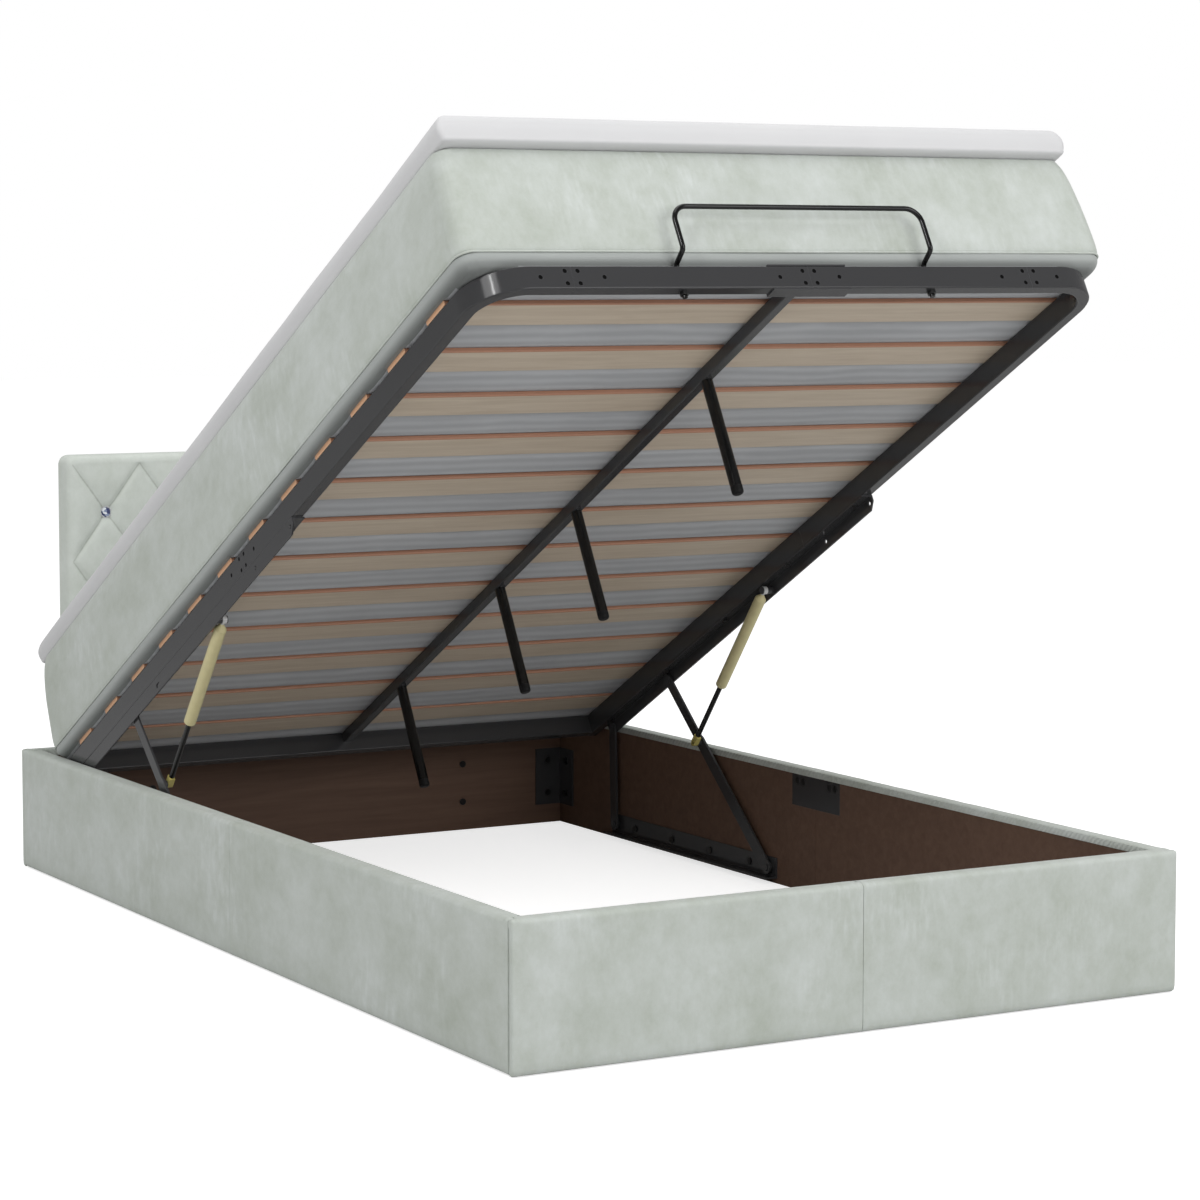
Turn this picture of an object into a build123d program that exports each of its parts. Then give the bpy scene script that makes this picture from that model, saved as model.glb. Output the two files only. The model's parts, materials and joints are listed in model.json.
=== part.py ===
from build123d import *
import os
from math import atan2, cos, degrees, hypot, radians, sin

os.makedirs("parts", exist_ok=True)

# The bed in millimetres and degrees: +Y towards the head, +Z up, the floor at Z = 0.
# The box
box_width = 1230
box_length = 2066
box_height = 236
board_thickness = 16
padding_thickness = 14
cap_thickness = 9
cover_hem_lift = 1
cover_top_radius = 10
cover_lip_radius = 4
cover_end_radius = 2.5
cover_seam_gap = 0.6

# The headboard
headboard_gap = 2
headboard_side_inset = 106
headboard_thickness = 60
headboard_top = 812
headboard_bottom = 196
headboard_corner_radius = 18
headboard_front_radius = 15
headboard_back_radius = 4
headboard_board_thickness = 16
headboard_rim = 14
diamond_columns = 7
diamond_rows = 6
diamond_side_inset = 9.2
diamond_top_inset = 17
channel_width = 9
channel_depth = 3.5
tuft_width = 54
tuft_depth = 8
crystal_width = 21
crystal_height = 6
crystal_taper = 32
crystal_sides = 8
rim_width = 24
rim_height = 2.5
leg_spacing = 700
leg_width = 60
leg_upper_thickness = 30
leg_insert = 262
leg_shoulder_drop = 6

# The metalwork of the box
plate_length = 164
plate_height = 60
plate_thickness = 3
plate_top_drop = 5
plate_bolt_spacings = (90, 130)
plate_bolt_drop = 12
bracket_leg = 60
bracket_height = 120
bracket_thickness = 3
bracket_lift = 40
bracket_bolt_spacing = 70
bolt_radius = 4
bolt_head_radius = 7
bolt_head_height = 2.5
bolt_grip = 10
flat_head_height = 0.8
hole_clearance = 0.15
headboard_bolt_heights = (60, 140)
headboard_bolt_grip = 30

# The lid frame, measured along the lid from its head end and up from the rails' undersides
lid_angle = 28.861
lid_side_clearance = 4.7
lid_length = 1960
rail_width = 22.2
rail_height = 39.1
rail_wall = 1.5
rail_edge_radius = 2.5
rail_corner_radius = 88
rail_seam_gap = 0.4
foot_splice_inset = 156.3
side_splice_place = 948
sleeve_length = 144
sleeve_wall = 3
sleeve_clearance = 0.2
splice_pair_offset = 11
splice_pair_rise = 10.6
splice_single_offset = 55
splice_screw_radius = 3.6
splice_screw_recess = 0.7
splice_screw_grip = 7
saddle_thickness = 2.5
saddle_length = 144
centre_rail_size = 20
centre_rail_wall = 1.5
support_radius = 10
support_drop = 188
support_place_shares = (0.1541, 0.3939, 0.5622, 0.8194)
support_cap_height = 14
support_cap_radius = 5
slat_count = 12
slat_width = 69
slat_thickness = 8
slat_edge_radius = 2
first_slat = 96.8
last_slat_inset = 156.4
slat_screw_radius = 2
slat_screw_head_radius = 4
slat_screw_head_height = 2

# The pull handle at the foot
handle_spacing = 460
handle_radius = 4.2
handle_corner_radius = 26
handle_bend_radius = 9
handle_tail = 11
handle_knee = 46.5
handle_elbow = 58
handle_reach = 31
handle_lean = 1
handle_top = 133
handle_clearance = 0.3
nut_width = 13
nut_height = 6.5

# The mattress and its topper
mattress_head_overhang = 47.5
mattress_foot_inset = 6
mattress_side_overhang = 20.7
mattress_height = 207.6
mattress_corner_radius = 40
mattress_bulge = 16
topper_head_overhang = 51.5
topper_foot_inset = 0.5
topper_side_overhang = 3.7
topper_height = 48
topper_corner_radius = 16
topper_bulge = 9

# The lifting gear: a four-bar linkage and a strut on each side
pivot_height = 30
rear_pivot_inset = 285
front_pivot_inset = 877
rear_link_length = 202
rear_link_tilt = 88
pivot_radius = 4
pivot_clearance = 0.06
pivot_head_radius = 7
pivot_head_height = 2
side_play = 0.3
link_thickness = 4
link_inset = 1
rear_link_width = 25
rear_link_end_radius = 10.5
front_link_foot_width = 26
front_link_head_width = 22
strut_pivot_place = 325.5
base_bar_leg = 40
base_bar_flange = 25
base_bar_thickness = 3
base_bar_lift = 10
base_bar_overhang = 22
base_bar_screws = 4
lid_bar_start = 60
lid_bar_end = 1170
lid_bar_drop = 26
lid_bar_flange = 24
lid_bar_thickness = 3
lid_bar_corner_radius = 14
lid_bar_hole_radius = 4
lid_bar_hole_places = (993, 1158)
lid_bar_hole_drop = 12
lid_bar_slot_place = 486
lid_bar_slot_length = 18
lid_bar_slot_depth = 1.5
lid_bar_bolts = 5
lid_bar_bolt_inset = 40
lid_bar_bolt_radius = 3
lid_bar_bolt_head_radius = 4.5
lid_bar_bolt_head_height = 4
rear_joint_place = 82.4
front_joint_place = 339
strut_joint_place = 779
joint_drop = 15

# The gas struts
strut_inset = 20.3
strut_radius = 11
strut_bore_radius = 9
strut_neck_radius = 3.7
strut_neck_start = 6
strut_shoulder_start = 12
strut_shoulder_end = 22
strut_body_end = 256
strut_guide_length = 14
strut_end_radius = 4
strut_bore_start = 44
strut_rod_radius = 5
strut_rod_start = 200
strut_piston_length = 12
strut_running_clearance = 0.1
eye_radius = 7.5
eye_width = 8
clevis_width = 10
clevis_height = 13
clevis_length = 18
clevis_hole_radius = 3.6
overrun = 5

# The box worked out
panel_thickness = board_thickness + padding_thickness
half_width = box_width / 2
inner_half = half_width - panel_thickness
board_face = half_width - padding_thickness
total_length = box_length + headboard_gap + headboard_thickness
foot_face = -total_length / 2
head_face = foot_face + box_length
box_middle = (foot_face + head_face) / 2
foot_inner = foot_face + panel_thickness
head_inner = head_face - panel_thickness
board_top = box_height - cap_thickness
half_seam = cover_seam_gap / 2
plate_top = board_top - plate_top_drop
plate_bottom = plate_top - plate_height
bracket_top = bracket_lift + bracket_height
bracket_bolt_heights = (
    bracket_lift + (bracket_height - bracket_bolt_spacing) / 2,
    bracket_lift + (bracket_height + bracket_bolt_spacing) / 2,
)
bracket_bolt_inset = (bracket_leg + bracket_thickness) / 2
bolt_hole_radius = bolt_radius + hole_clearance
plate_bolt_offsets = tuple(
    sign * spacing / 2 for spacing in plate_bolt_spacings for sign in (-1, 1)
)

# The linkage worked out, as points (y, z) in the bed's frame
slope_cos = cos(radians(lid_angle))
slope_sin = sin(radians(lid_angle))
rear_pivot = (head_face - rear_pivot_inset, pivot_height)
front_pivot = (head_face - front_pivot_inset, pivot_height)
rear_joint = (
    rear_pivot[0] + rear_link_length * cos(radians(rear_link_tilt)),
    rear_pivot[1] + rear_link_length * sin(radians(rear_link_tilt)),
)
lid_y = rear_joint[0] + rear_joint_place * slope_cos + joint_drop * slope_sin
lid_z = rear_joint[1] - rear_joint_place * slope_sin + joint_drop * slope_cos


def on_lid(place, rise):
    """The point (y, z) at a place along the lid from its head end and a rise above its rails."""
    return (
        lid_y - place * slope_cos + rise * slope_sin,
        lid_z + place * slope_sin + rise * slope_cos,
    )


front_joint = on_lid(front_joint_place, -joint_drop)
strut_joint = on_lid(strut_joint_place, -joint_drop)
front_link_length = hypot(front_joint[0] - front_pivot[0], front_joint[1] - front_pivot[1])
front_link_tilt = degrees(
    atan2(front_joint[1] - front_pivot[1], front_joint[0] - front_pivot[0])
)
strut_foot = (
    front_pivot[0] + strut_pivot_place * cos(radians(front_link_tilt)),
    front_pivot[1] + strut_pivot_place * sin(radians(front_link_tilt)),
)
strut_length = hypot(strut_foot[0] - strut_joint[0], strut_foot[1] - strut_joint[1])
strut_direction = (
    0,
    (strut_foot[0] - strut_joint[0]) / strut_length,
    (strut_foot[1] - strut_joint[1]) / strut_length,
)
lid_normal = (0, slope_sin, slope_cos)
lid_forward = (0, -slope_cos, slope_sin)
half_lid = inner_half - lid_side_clearance
lid_width = 2 * half_lid
lid_bar_inner = half_lid - lid_bar_thickness
link_outer = lid_bar_inner - link_inset
link_inner = link_outer - link_thickness
strut_x = half_lid - strut_inset
foot_rail_place = lid_length - rail_width / 2
foot_splice_place = half_lid - foot_splice_inset
head_rail_place = rail_width / 2
side_rail_x = half_lid - rail_width / 2
slat_top = rail_height + slat_thickness
pivot_hole_radius = pivot_radius + pivot_clearance


def lid_plane(rise):
    """The lid's own plane at a rise above its rails: local x across, local y towards the head."""
    origin = (0, lid_y + rise * slope_sin, lid_z + rise * slope_cos)
    return Plane(origin=origin, x_dir=(1, 0, 0), z_dir=lid_normal)


def block(x_span, y_span, z_span, mode=Mode.ADD):
    """A block between two values on each axis, in the part that is being built."""
    with BuildSketch(Plane.XY.offset(z_span[0])) as footprint:
        with Locations(((x_span[0] + x_span[1]) / 2, (y_span[0] + y_span[1]) / 2)):
            Rectangle(abs(x_span[1] - x_span[0]), abs(y_span[1] - y_span[0]))
    extrude(footprint.sketch, amount=z_span[1] - z_span[0], mode=mode)


def lid_block(x_span, place_span, rise_span, mode=Mode.ADD):
    """A block in the lid's own directions, in the part that is being built."""
    with BuildSketch(lid_plane(rise_span[0])) as footprint:
        with Locations(((x_span[0] + x_span[1]) / 2, -(place_span[0] + place_span[1]) / 2)):
            Rectangle(abs(x_span[1] - x_span[0]), abs(place_span[1] - place_span[0]))
    extrude(footprint.sketch, amount=rise_span[1] - rise_span[0], mode=mode)


def rod(plane, points, radius, amount, mode=Mode.ADD):
    """Round bars of one radius standing on a plane at its local points."""
    with BuildSketch(plane) as ends:
        with Locations(*points):
            Circle(radius)
    extrude(ends.sketch, amount=amount, mode=mode)


def finish(part, name):
    """Label a finished piece and write it to its own file."""
    part.label = name
    export_step(part, "parts/" + name + ".step")


# Side panels: a board and its padded velvet cover, in two lengths on each side
def side_inner_plane(side):
    """The inner face of a side board, its normal pointing into the box."""
    return Plane(origin=(side * inner_half, 0, 0), x_dir=(0, 1, 0), z_dir=(-side, 0, 0))


def side_points(side, points):
    """Points (y, z) as the local points of that side's inner plane."""
    return [(y, -side * z) for y, z in points]


plate_bolt_height = plate_top - plate_bolt_drop
side_plate_points = [(box_middle + offset, plate_bolt_height) for offset in plate_bolt_offsets]
bar_first = front_pivot[0] - base_bar_overhang
bar_last = rear_pivot[0] + base_bar_overhang
bar_top = base_bar_lift + base_bar_leg
bar_screw_step = (bar_last - bar_first - 2 * base_bar_overhang) / base_bar_screws
bar_screw_places = [
    bar_first + base_bar_overhang + bar_screw_step * (index + 1 / 2)
    for index in range(base_bar_screws)
]
bar_screw_points = [(place, pivot_height) for place in bar_screw_places]


def side_bracket_points(end):
    """The bolts of a corner bracket on a side board: end is -1 at the foot and 1 at the head."""
    place = foot_inner + bracket_bolt_inset if end < 0 else head_inner - bracket_bolt_inset
    return [(place, height) for height in bracket_bolt_heights]


for side, side_name in ((-1, "left"), (1, "right")):
    for end, end_name in ((-1, "foot"), (1, "head")):
        inner_end = foot_inner if end < 0 else head_inner
        lap_end = foot_face + padding_thickness if end < 0 else head_face - padding_thickness
        middle = box_middle + end * half_seam
        with BuildPart() as side_board:
            block((side * inner_half, side * board_face), (middle, inner_end), (0, board_top))
            block(
                (side * inner_half, side * (inner_half + plate_thickness)),
                (middle, box_middle + end * plate_length / 2),
                (plate_bottom, plate_top),
                mode=Mode.SUBTRACT,
            )
            holes = [
                point
                for point in side_plate_points + bar_screw_points + side_bracket_points(end)
                if min(middle, inner_end) < point[0] < max(middle, inner_end)
            ]
            rod(
                side_inner_plane(side),
                side_points(side, holes),
                bolt_hole_radius,
                -(bolt_grip + plate_thickness),
                mode=Mode.SUBTRACT,
            )
        finish(side_board.part, "side_board_" + side_name + "_" + end_name)

        with BuildPart() as side_cover:
            block(
                (side * board_face, side * half_width),
                (middle, lap_end - end * cover_seam_gap),
                (cover_hem_lift, box_height),
            )
            block(
                (side * inner_half, side * board_face),
                (middle, inner_end - end * cover_seam_gap),
                (board_top, box_height),
            )
            top_edges = side_cover.edges().filter_by(Axis.Y).group_by(Axis.Z)[-1]
            top_edges = top_edges.sort_by(lambda edge: side * edge.center().X)
            fillet(top_edges[-1], cover_top_radius)
            fillet(top_edges[0], cover_lip_radius)
            end_edges = side_cover.edges().filter_by(Axis.Z)
            fillet(
                end_edges.filter_by(lambda edge: abs(edge.center().X) > half_width - half_seam),
                cover_end_radius,
            )
        finish(side_cover.part, "side_cover_" + side_name + "_" + end_name)


# End panels: the foot in two widths, the head in one
def end_inner_plane(end):
    """The inner face of the foot or head board, its normal pointing into the box."""
    inner_end = foot_inner if end < 0 else head_inner
    return Plane(origin=(0, inner_end, 0), x_dir=(1, 0, 0), z_dir=(0, -end, 0))


def end_points(end, points):
    """Points (x, z) as the local points of that end's inner plane."""
    return [(x, end * z) for x, z in points]


def end_bracket_points(sides):
    """The bolts of the corner brackets on an end board."""
    place = inner_half - bracket_bolt_inset
    return [(side * place, height) for side in sides for height in bracket_bolt_heights]


def cover_end_board(end, x_span, bolts, through, plated):
    """A board of the foot or head panel with its bolt holes and any pocket for a plate."""
    inner_end = foot_inner if end < 0 else head_inner
    outer = inner_end + end * board_thickness
    with BuildPart() as board:
        block(x_span, (inner_end, outer), (0, board_top))
        if plated:
            block(
                (-plate_length / 2, plate_length / 2),
                (inner_end, inner_end + end * plate_thickness),
                (plate_bottom, plate_top),
                mode=Mode.SUBTRACT,
            )
        grip = bolt_grip + plate_thickness
        plane = end_inner_plane(end)
        rod(plane, end_points(end, bolts), bolt_hole_radius, -grip, mode=Mode.SUBTRACT)
        if through:
            points = end_points(end, through)
            rod(plane, points, bolt_hole_radius, -panel_thickness, mode=Mode.SUBTRACT)
    return board.part


def cover_end_panel(end, x_span, cap_span, through):
    """The padded cover of a foot or head board: a front slab and a cap over the board."""
    inner_end = foot_inner if end < 0 else head_inner
    outer = foot_face if end < 0 else head_face
    board_side = outer - end * padding_thickness
    with BuildPart() as cover:
        block(x_span, (outer, board_side), (cover_hem_lift, box_height))
        block(cap_span, (board_side, inner_end), (board_top, box_height))
        top_edges = cover.edges().filter_by(Axis.X).group_by(Axis.Z)[-1]
        top_edges = top_edges.sort_by(lambda edge: end * edge.center().Y)
        fillet(top_edges[-1], cover_top_radius)
        fillet(top_edges[0], cover_lip_radius)
        outer_edges = cover.edges().filter_by(Axis.Z)
        outer_edges = outer_edges.filter_by(lambda edge: abs(edge.center().Y - outer) < half_seam)
        for edge in outer_edges:
            at_corner = abs(edge.center().X) > board_face
            fillet(edge, cover_top_radius if at_corner else cover_end_radius)
        if through:
            points = end_points(end, through)
            reach = panel_thickness + overrun
            plane = end_inner_plane(end)
            rod(plane, points, bolt_hole_radius, -reach, mode=Mode.SUBTRACT)
    return cover.part


foot_plate_points = [(offset, plate_bolt_height) for offset in plate_bolt_offsets]
for side, side_name in ((-1, "left"), (1, "right")):
    bolts = [point for point in foot_plate_points if side * point[0] > 0]
    bolts = bolts + end_bracket_points((side,))
    seam = side * half_seam
    board = cover_end_board(-1, (seam, side * board_face), bolts, [], plated=True)
    finish(board, "foot_board_" + side_name)
    cap_end = side * (board_face - cover_seam_gap)
    cover = cover_end_panel(-1, (seam, side * half_width), (seam, cap_end), [])
    finish(cover, "foot_cover_" + side_name)

headboard_bolt_points = [
    (side * leg_spacing / 2, height) for side in (-1, 1) for height in headboard_bolt_heights
]
finish(
    cover_end_board(
        1, (-board_face, board_face), end_bracket_points((-1, 1)), headboard_bolt_points, False
    ),
    "head_panel_board",
)
cap_half = board_face - cover_seam_gap
finish(
    cover_end_panel(
        1, (-half_width, half_width), (-cap_half, cap_half), headboard_bolt_points
    ),
    "head_panel_cover",
)


# Join plates over the panels' middle seams, and brackets in the corners, with their bolts
def bolts_on(plane, points, proud, grip, radius, head_radius, head_height):
    """Bolts standing on a plane: a head above it and a shank below."""
    head_plane = plane.offset(proud)
    rod(head_plane, points, head_radius, head_height)
    rod(head_plane, points, radius, -grip)


with BuildPart() as join_plates:
    for side in (-1, 1):
        block(
            (side * inner_half, side * (inner_half + plate_thickness)),
            (box_middle - plate_length / 2, box_middle + plate_length / 2),
            (plate_bottom, plate_top),
        )
        rod(
            side_inner_plane(side),
            side_points(side, side_plate_points),
            bolt_hole_radius,
            -plate_thickness,
            mode=Mode.SUBTRACT,
        )
    block(
        (-plate_length / 2, plate_length / 2),
        (foot_inner, foot_inner - plate_thickness),
        (plate_bottom, plate_top),
    )
    rod(
        end_inner_plane(-1),
        end_points(-1, foot_plate_points),
        bolt_hole_radius,
        -plate_thickness,
        mode=Mode.SUBTRACT,
    )
finish(join_plates.part, "join_plates")

with BuildPart() as join_bolts:
    sizes = (0, bolt_grip + plate_thickness, bolt_radius, bolt_head_radius, flat_head_height)
    for side in (-1, 1):
        bolts_on(side_inner_plane(side), side_points(side, side_plate_points), *sizes)
    bolts_on(end_inner_plane(-1), end_points(-1, foot_plate_points), *sizes)
finish(join_bolts.part, "join_plate_bolts")

with BuildPart() as corner_brackets:
    for side in (-1, 1):
        for end in (-1, 1):
            inner_end = foot_inner if end < 0 else head_inner
            outer_x = side * inner_half
            inner_x = side * (inner_half - bracket_leg)
            block(
                (outer_x, side * (inner_half - bracket_thickness)),
                (inner_end, inner_end - end * bracket_leg),
                (bracket_lift, bracket_top),
            )
            block(
                (side * (inner_half - bracket_thickness), inner_x),
                (inner_end, inner_end - end * bracket_thickness),
                (bracket_lift, bracket_top),
            )
    for side in (-1, 1):
        points = side_bracket_points(-1) + side_bracket_points(1)
        rod(
            side_inner_plane(side),
            side_points(side, points),
            bolt_hole_radius,
            bracket_thickness,
            mode=Mode.SUBTRACT,
        )
    for end in (-1, 1):
        rod(
            end_inner_plane(end),
            end_points(end, end_bracket_points((-1, 1))),
            bolt_hole_radius,
            bracket_thickness,
            mode=Mode.SUBTRACT,
        )
finish(corner_brackets.part, "corner_brackets")

with BuildPart() as corner_bolts:
    sizes = (
        bracket_thickness,
        bolt_grip + bracket_thickness,
        bolt_radius,
        bolt_head_radius,
        bolt_head_height,
    )
    for side in (-1, 1):
        points = side_bracket_points(-1) + side_bracket_points(1)
        bolts_on(side_inner_plane(side), side_points(side, points), *sizes)
    for end in (-1, 1):
        points = end_points(end, end_bracket_points((-1, 1)))
        bolts_on(end_inner_plane(end), points, *sizes)
finish(corner_bolts.part, "corner_bracket_bolts")

# The headboard: a backing board, a tufted cushion over it, and two legs behind the box
headboard_front = head_face + headboard_gap
headboard_back = headboard_front + headboard_thickness
headboard_board_front = headboard_back - headboard_board_thickness
headboard_middle = (headboard_top + headboard_bottom) / 2
headboard_width = box_width - 2 * headboard_side_inset
headboard_height = headboard_top - headboard_bottom
leg_back = headboard_board_front
leg_upper_front = leg_back - leg_upper_thickness
leg_top = headboard_bottom + leg_insert
leg_shoulder = headboard_bottom - leg_shoulder_drop
half_column = (headboard_width / 2 - diamond_side_inset) / diamond_columns
half_row = (headboard_height - 2 * diamond_top_inset) / diamond_rows
diamond_top = headboard_top - diamond_top_inset


def diamond_point(column, row):
    """Where the stitched lines cross, counted in half diamonds from the upper left."""
    return (half_column * (column - diamond_columns), diamond_top - half_row * row)


tuft_points = [
    diamond_point(column, row)
    for row in range(1, diamond_rows)
    for column in range(1, 2 * diamond_columns)
    if (column + row) % 2 == 0
]
front_plane = Plane(origin=(0, headboard_front, 0), x_dir=(1, 0, 0), z_dir=(0, -1, 0))
back_plane = Plane(origin=(0, headboard_back, 0), x_dir=(1, 0, 0), z_dir=(0, -1, 0))

with BuildPart() as headboard_board:
    with BuildSketch(back_plane):
        with Locations((0, headboard_middle)):
            RectangleRounded(
                headboard_width - 2 * headboard_rim,
                headboard_height - 2 * headboard_rim,
                headboard_corner_radius - headboard_rim,
            )
    extrude(amount=headboard_board_thickness)
finish(headboard_board.part, "headboard_board")


def channel_ends():
    """The two ends of each stitched line, as half-diamond counts."""
    last_column = 2 * diamond_columns
    ends = []
    for start in range(2 - diamond_rows, last_column, 2):
        first = max(0, -start)
        last = min(diamond_rows, last_column - start)
        ends.append(((start + first, first), (start + last, last)))
        ends.append(((last_column - start - first, first), (last_column - start - last, last)))
    return ends


with BuildPart() as headboard_cover:
    with BuildSketch(back_plane):
        with Locations((0, headboard_middle)):
            RectangleRounded(headboard_width, headboard_height, headboard_corner_radius)
    extrude(amount=headboard_thickness)
    front_edges = headboard_cover.faces().sort_by(Axis.Y)[0].edges()
    fillet(front_edges, headboard_front_radius)
    back_edges = headboard_cover.faces().sort_by(Axis.Y)[-1].edges()
    fillet(back_edges, headboard_back_radius)
    for (column_a, row_a), (column_b, row_b) in channel_ends():
        start = diamond_point(column_a, row_a)
        finish_point = diamond_point(column_b, row_b)
        run = Vector(finish_point[0] - start[0], 0, finish_point[1] - start[1])
        channel_start = Plane(
            origin=(start[0], headboard_front, start[1]), x_dir=(0, 1, 0), z_dir=run
        )
        with BuildSketch(channel_start):
            with BuildLine():
                Polyline(
                    (-channel_depth, -channel_width),
                    (channel_depth, 0),
                    (-channel_depth, channel_width),
                    close=True,
                )
            make_face()
        extrude(amount=run.length, mode=Mode.SUBTRACT)
    tuft_radius = ((tuft_width / 2) ** 2 + tuft_depth**2) / (2 * tuft_depth)
    with Locations(
        *[(x, headboard_front - tuft_radius + tuft_depth, z) for x, z in tuft_points]
    ):
        Sphere(tuft_radius, mode=Mode.SUBTRACT)
    rod(front_plane, tuft_points, rim_width / 2, -tuft_depth, mode=Mode.SUBTRACT)
    with BuildSketch(back_plane):
        with Locations((0, headboard_middle)):
            RectangleRounded(
                headboard_width - 2 * headboard_rim,
                headboard_height - 2 * headboard_rim,
                headboard_corner_radius - headboard_rim,
            )
    extrude(amount=headboard_board_thickness, mode=Mode.SUBTRACT)
    for side in (-1, 1):
        centre = side * leg_spacing / 2
        block(
            (centre - leg_width / 2 - hole_clearance, centre + leg_width / 2 + hole_clearance),
            (leg_upper_front - hole_clearance, leg_back),
            (headboard_bottom - overrun, leg_top + hole_clearance),
            mode=Mode.SUBTRACT,
        )
finish(headboard_cover.part, "headboard_cushion")

tuft_floor = front_plane.offset(-tuft_depth)
with BuildPart() as crystal_rims:
    with BuildSketch(tuft_floor):
        with Locations(*tuft_points):
            Circle(rim_width / 2 - hole_clearance)
    extrude(amount=rim_height)
    with BuildSketch(tuft_floor.offset(rim_height)):
        with Locations(*tuft_points):
            RegularPolygon(crystal_width / 2, crystal_sides)
    extrude(amount=-rim_height / 2, mode=Mode.SUBTRACT)
finish(crystal_rims.part, "crystal_rims")

with BuildPart() as crystals:
    with BuildSketch(tuft_floor.offset(rim_height / 2)):
        with Locations(*tuft_points):
            RegularPolygon(crystal_width / 2 - hole_clearance, crystal_sides)
    extrude(amount=rim_height / 2)
    with BuildSketch(tuft_floor.offset(rim_height)):
        with Locations(*tuft_points):
            RegularPolygon(crystal_width / 2 - hole_clearance, crystal_sides)
    extrude(amount=crystal_height - rim_height, taper=crystal_taper)
finish(crystals.part, "headboard_crystals")

with BuildPart() as headboard_legs:
    for side in (-1, 1):
        centre = side * leg_spacing / 2
        x_span = (centre - leg_width / 2, centre + leg_width / 2)
        block(x_span, (head_face, leg_back), (0, leg_shoulder))
        block(x_span, (leg_upper_front, leg_back), (leg_shoulder, leg_top))
    rod(
        end_inner_plane(1),
        end_points(1, headboard_bolt_points),
        bolt_hole_radius,
        -(panel_thickness + headboard_bolt_grip),
        mode=Mode.SUBTRACT,
    )
finish(headboard_legs.part, "headboard_legs")

with BuildPart() as headboard_bolts:
    bolts_on(
        end_inner_plane(1),
        end_points(1, headboard_bolt_points),
        0,
        panel_thickness + headboard_bolt_grip,
        bolt_radius,
        bolt_head_radius,
        bolt_head_height,
    )
finish(headboard_bolts.part, "headboard_bolts")

# The lifting gear: a base bar, a rear link and a front link on each side
bar_face = inner_half - base_bar_thickness
for side, side_name in ((-1, "left"), (1, "right")):
    with BuildPart() as base_bar:
        block(
            (side * inner_half, side * bar_face), (bar_first, bar_last), (base_bar_lift, bar_top)
        )
        block(
            (side * bar_face, side * (inner_half - base_bar_flange)),
            (bar_first, bar_last),
            (base_bar_lift, base_bar_lift + base_bar_thickness),
        )
        inner_plane = side_inner_plane(side)
        pivots = side_points(side, [rear_pivot, front_pivot])
        screws = side_points(side, bar_screw_points)
        rod(inner_plane, screws, bolt_hole_radius, base_bar_thickness, mode=Mode.SUBTRACT)
        boss_height = inner_half - link_outer - side_play
        rod(inner_plane, pivots, pivot_head_radius, boss_height)
        head_start = inner_half - link_inner + side_play
        rod(inner_plane, pivots, pivot_radius, head_start)
        rod(inner_plane.offset(head_start), pivots, pivot_head_radius, pivot_head_height)
    finish(base_bar.part, "base_bar_" + side_name)

    with BuildPart() as rear_link:
        with BuildSketch(Plane.YZ.offset(side * link_inner)):
            with Locations(rear_pivot):
                Circle(rear_link_width / 2)
            shoulder_share = (rear_link_length - rear_link_width) / rear_link_length
            shoulder = (
                rear_pivot[0] + (rear_joint[0] - rear_pivot[0]) * shoulder_share,
                rear_pivot[1] + (rear_joint[1] - rear_pivot[1]) * shoulder_share,
            )
            with Locations(shoulder):
                Circle(rear_link_width / 2)
            with Locations(rear_joint):
                Circle(rear_link_end_radius)
            make_hull()
        extrude(amount=side * link_thickness)
        rod(
            Plane.YZ.offset(side * link_inner),
            [rear_pivot, rear_joint],
            pivot_hole_radius,
            side * link_thickness,
            mode=Mode.SUBTRACT,
        )
    finish(rear_link.part, "rear_link_" + side_name)

    with BuildPart() as front_link:
        with BuildSketch(Plane.YZ.offset(side * link_inner)):
            lower_middle = (
                (front_pivot[0] + strut_foot[0]) / 2,
                (front_pivot[1] + strut_foot[1]) / 2,
            )
            with Locations(lower_middle):
                SlotCenterToCenter(
                    strut_pivot_place, front_link_foot_width, rotation=front_link_tilt
                )
            upper_middle = (
                (front_joint[0] + strut_foot[0]) / 2,
                (front_joint[1] + strut_foot[1]) / 2,
            )
            with Locations(upper_middle):
                SlotCenterToCenter(
                    front_link_length - strut_pivot_place,
                    front_link_head_width,
                    rotation=front_link_tilt,
                )
        extrude(amount=side * link_thickness)
        rod(
            Plane.YZ.offset(side * link_inner),
            [front_pivot],
            pivot_hole_radius,
            side * link_thickness,
            mode=Mode.SUBTRACT,
        )
        rod(
            Plane.YZ.offset(side * link_inner),
            [front_joint],
            front_link_head_width / 2,
            -side * pivot_head_height,
        )
        stud_length = link_inner - strut_x - clevis_width / 2 - side_play
        rod(Plane.YZ.offset(side * link_inner), [strut_foot], pivot_head_radius, -side * stud_length)
    finish(front_link.part, "front_link_" + side_name)

with BuildPart() as base_bar_screws_part:
    for side in (-1, 1):
        bolts_on(
            side_inner_plane(side),
            side_points(side, bar_screw_points),
            base_bar_thickness,
            bolt_grip + base_bar_thickness,
            bolt_radius,
            bolt_head_radius,
            bolt_head_height,
        )
finish(base_bar_screws_part.part, "base_bar_screws")

# The lid frame: seven lengths of rectangular tube joined by sleeves
half_gap = rail_seam_gap / 2
splice_points = [(-splice_single_offset, 0), (splice_single_offset, 0)]
for across in (-splice_pair_offset, splice_pair_offset):
    for up in (-splice_pair_rise, splice_pair_rise):
        splice_points.append((across, up))
rail_middle = rail_height / 2


def foot_splice_plane(x):
    """The outer face of the foot rail at a splice, its normal pointing away from the lid."""
    y, z = on_lid(lid_length, rail_middle)
    return Plane(origin=(x, y, z), x_dir=(1, 0, 0), z_dir=lid_forward)


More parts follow.
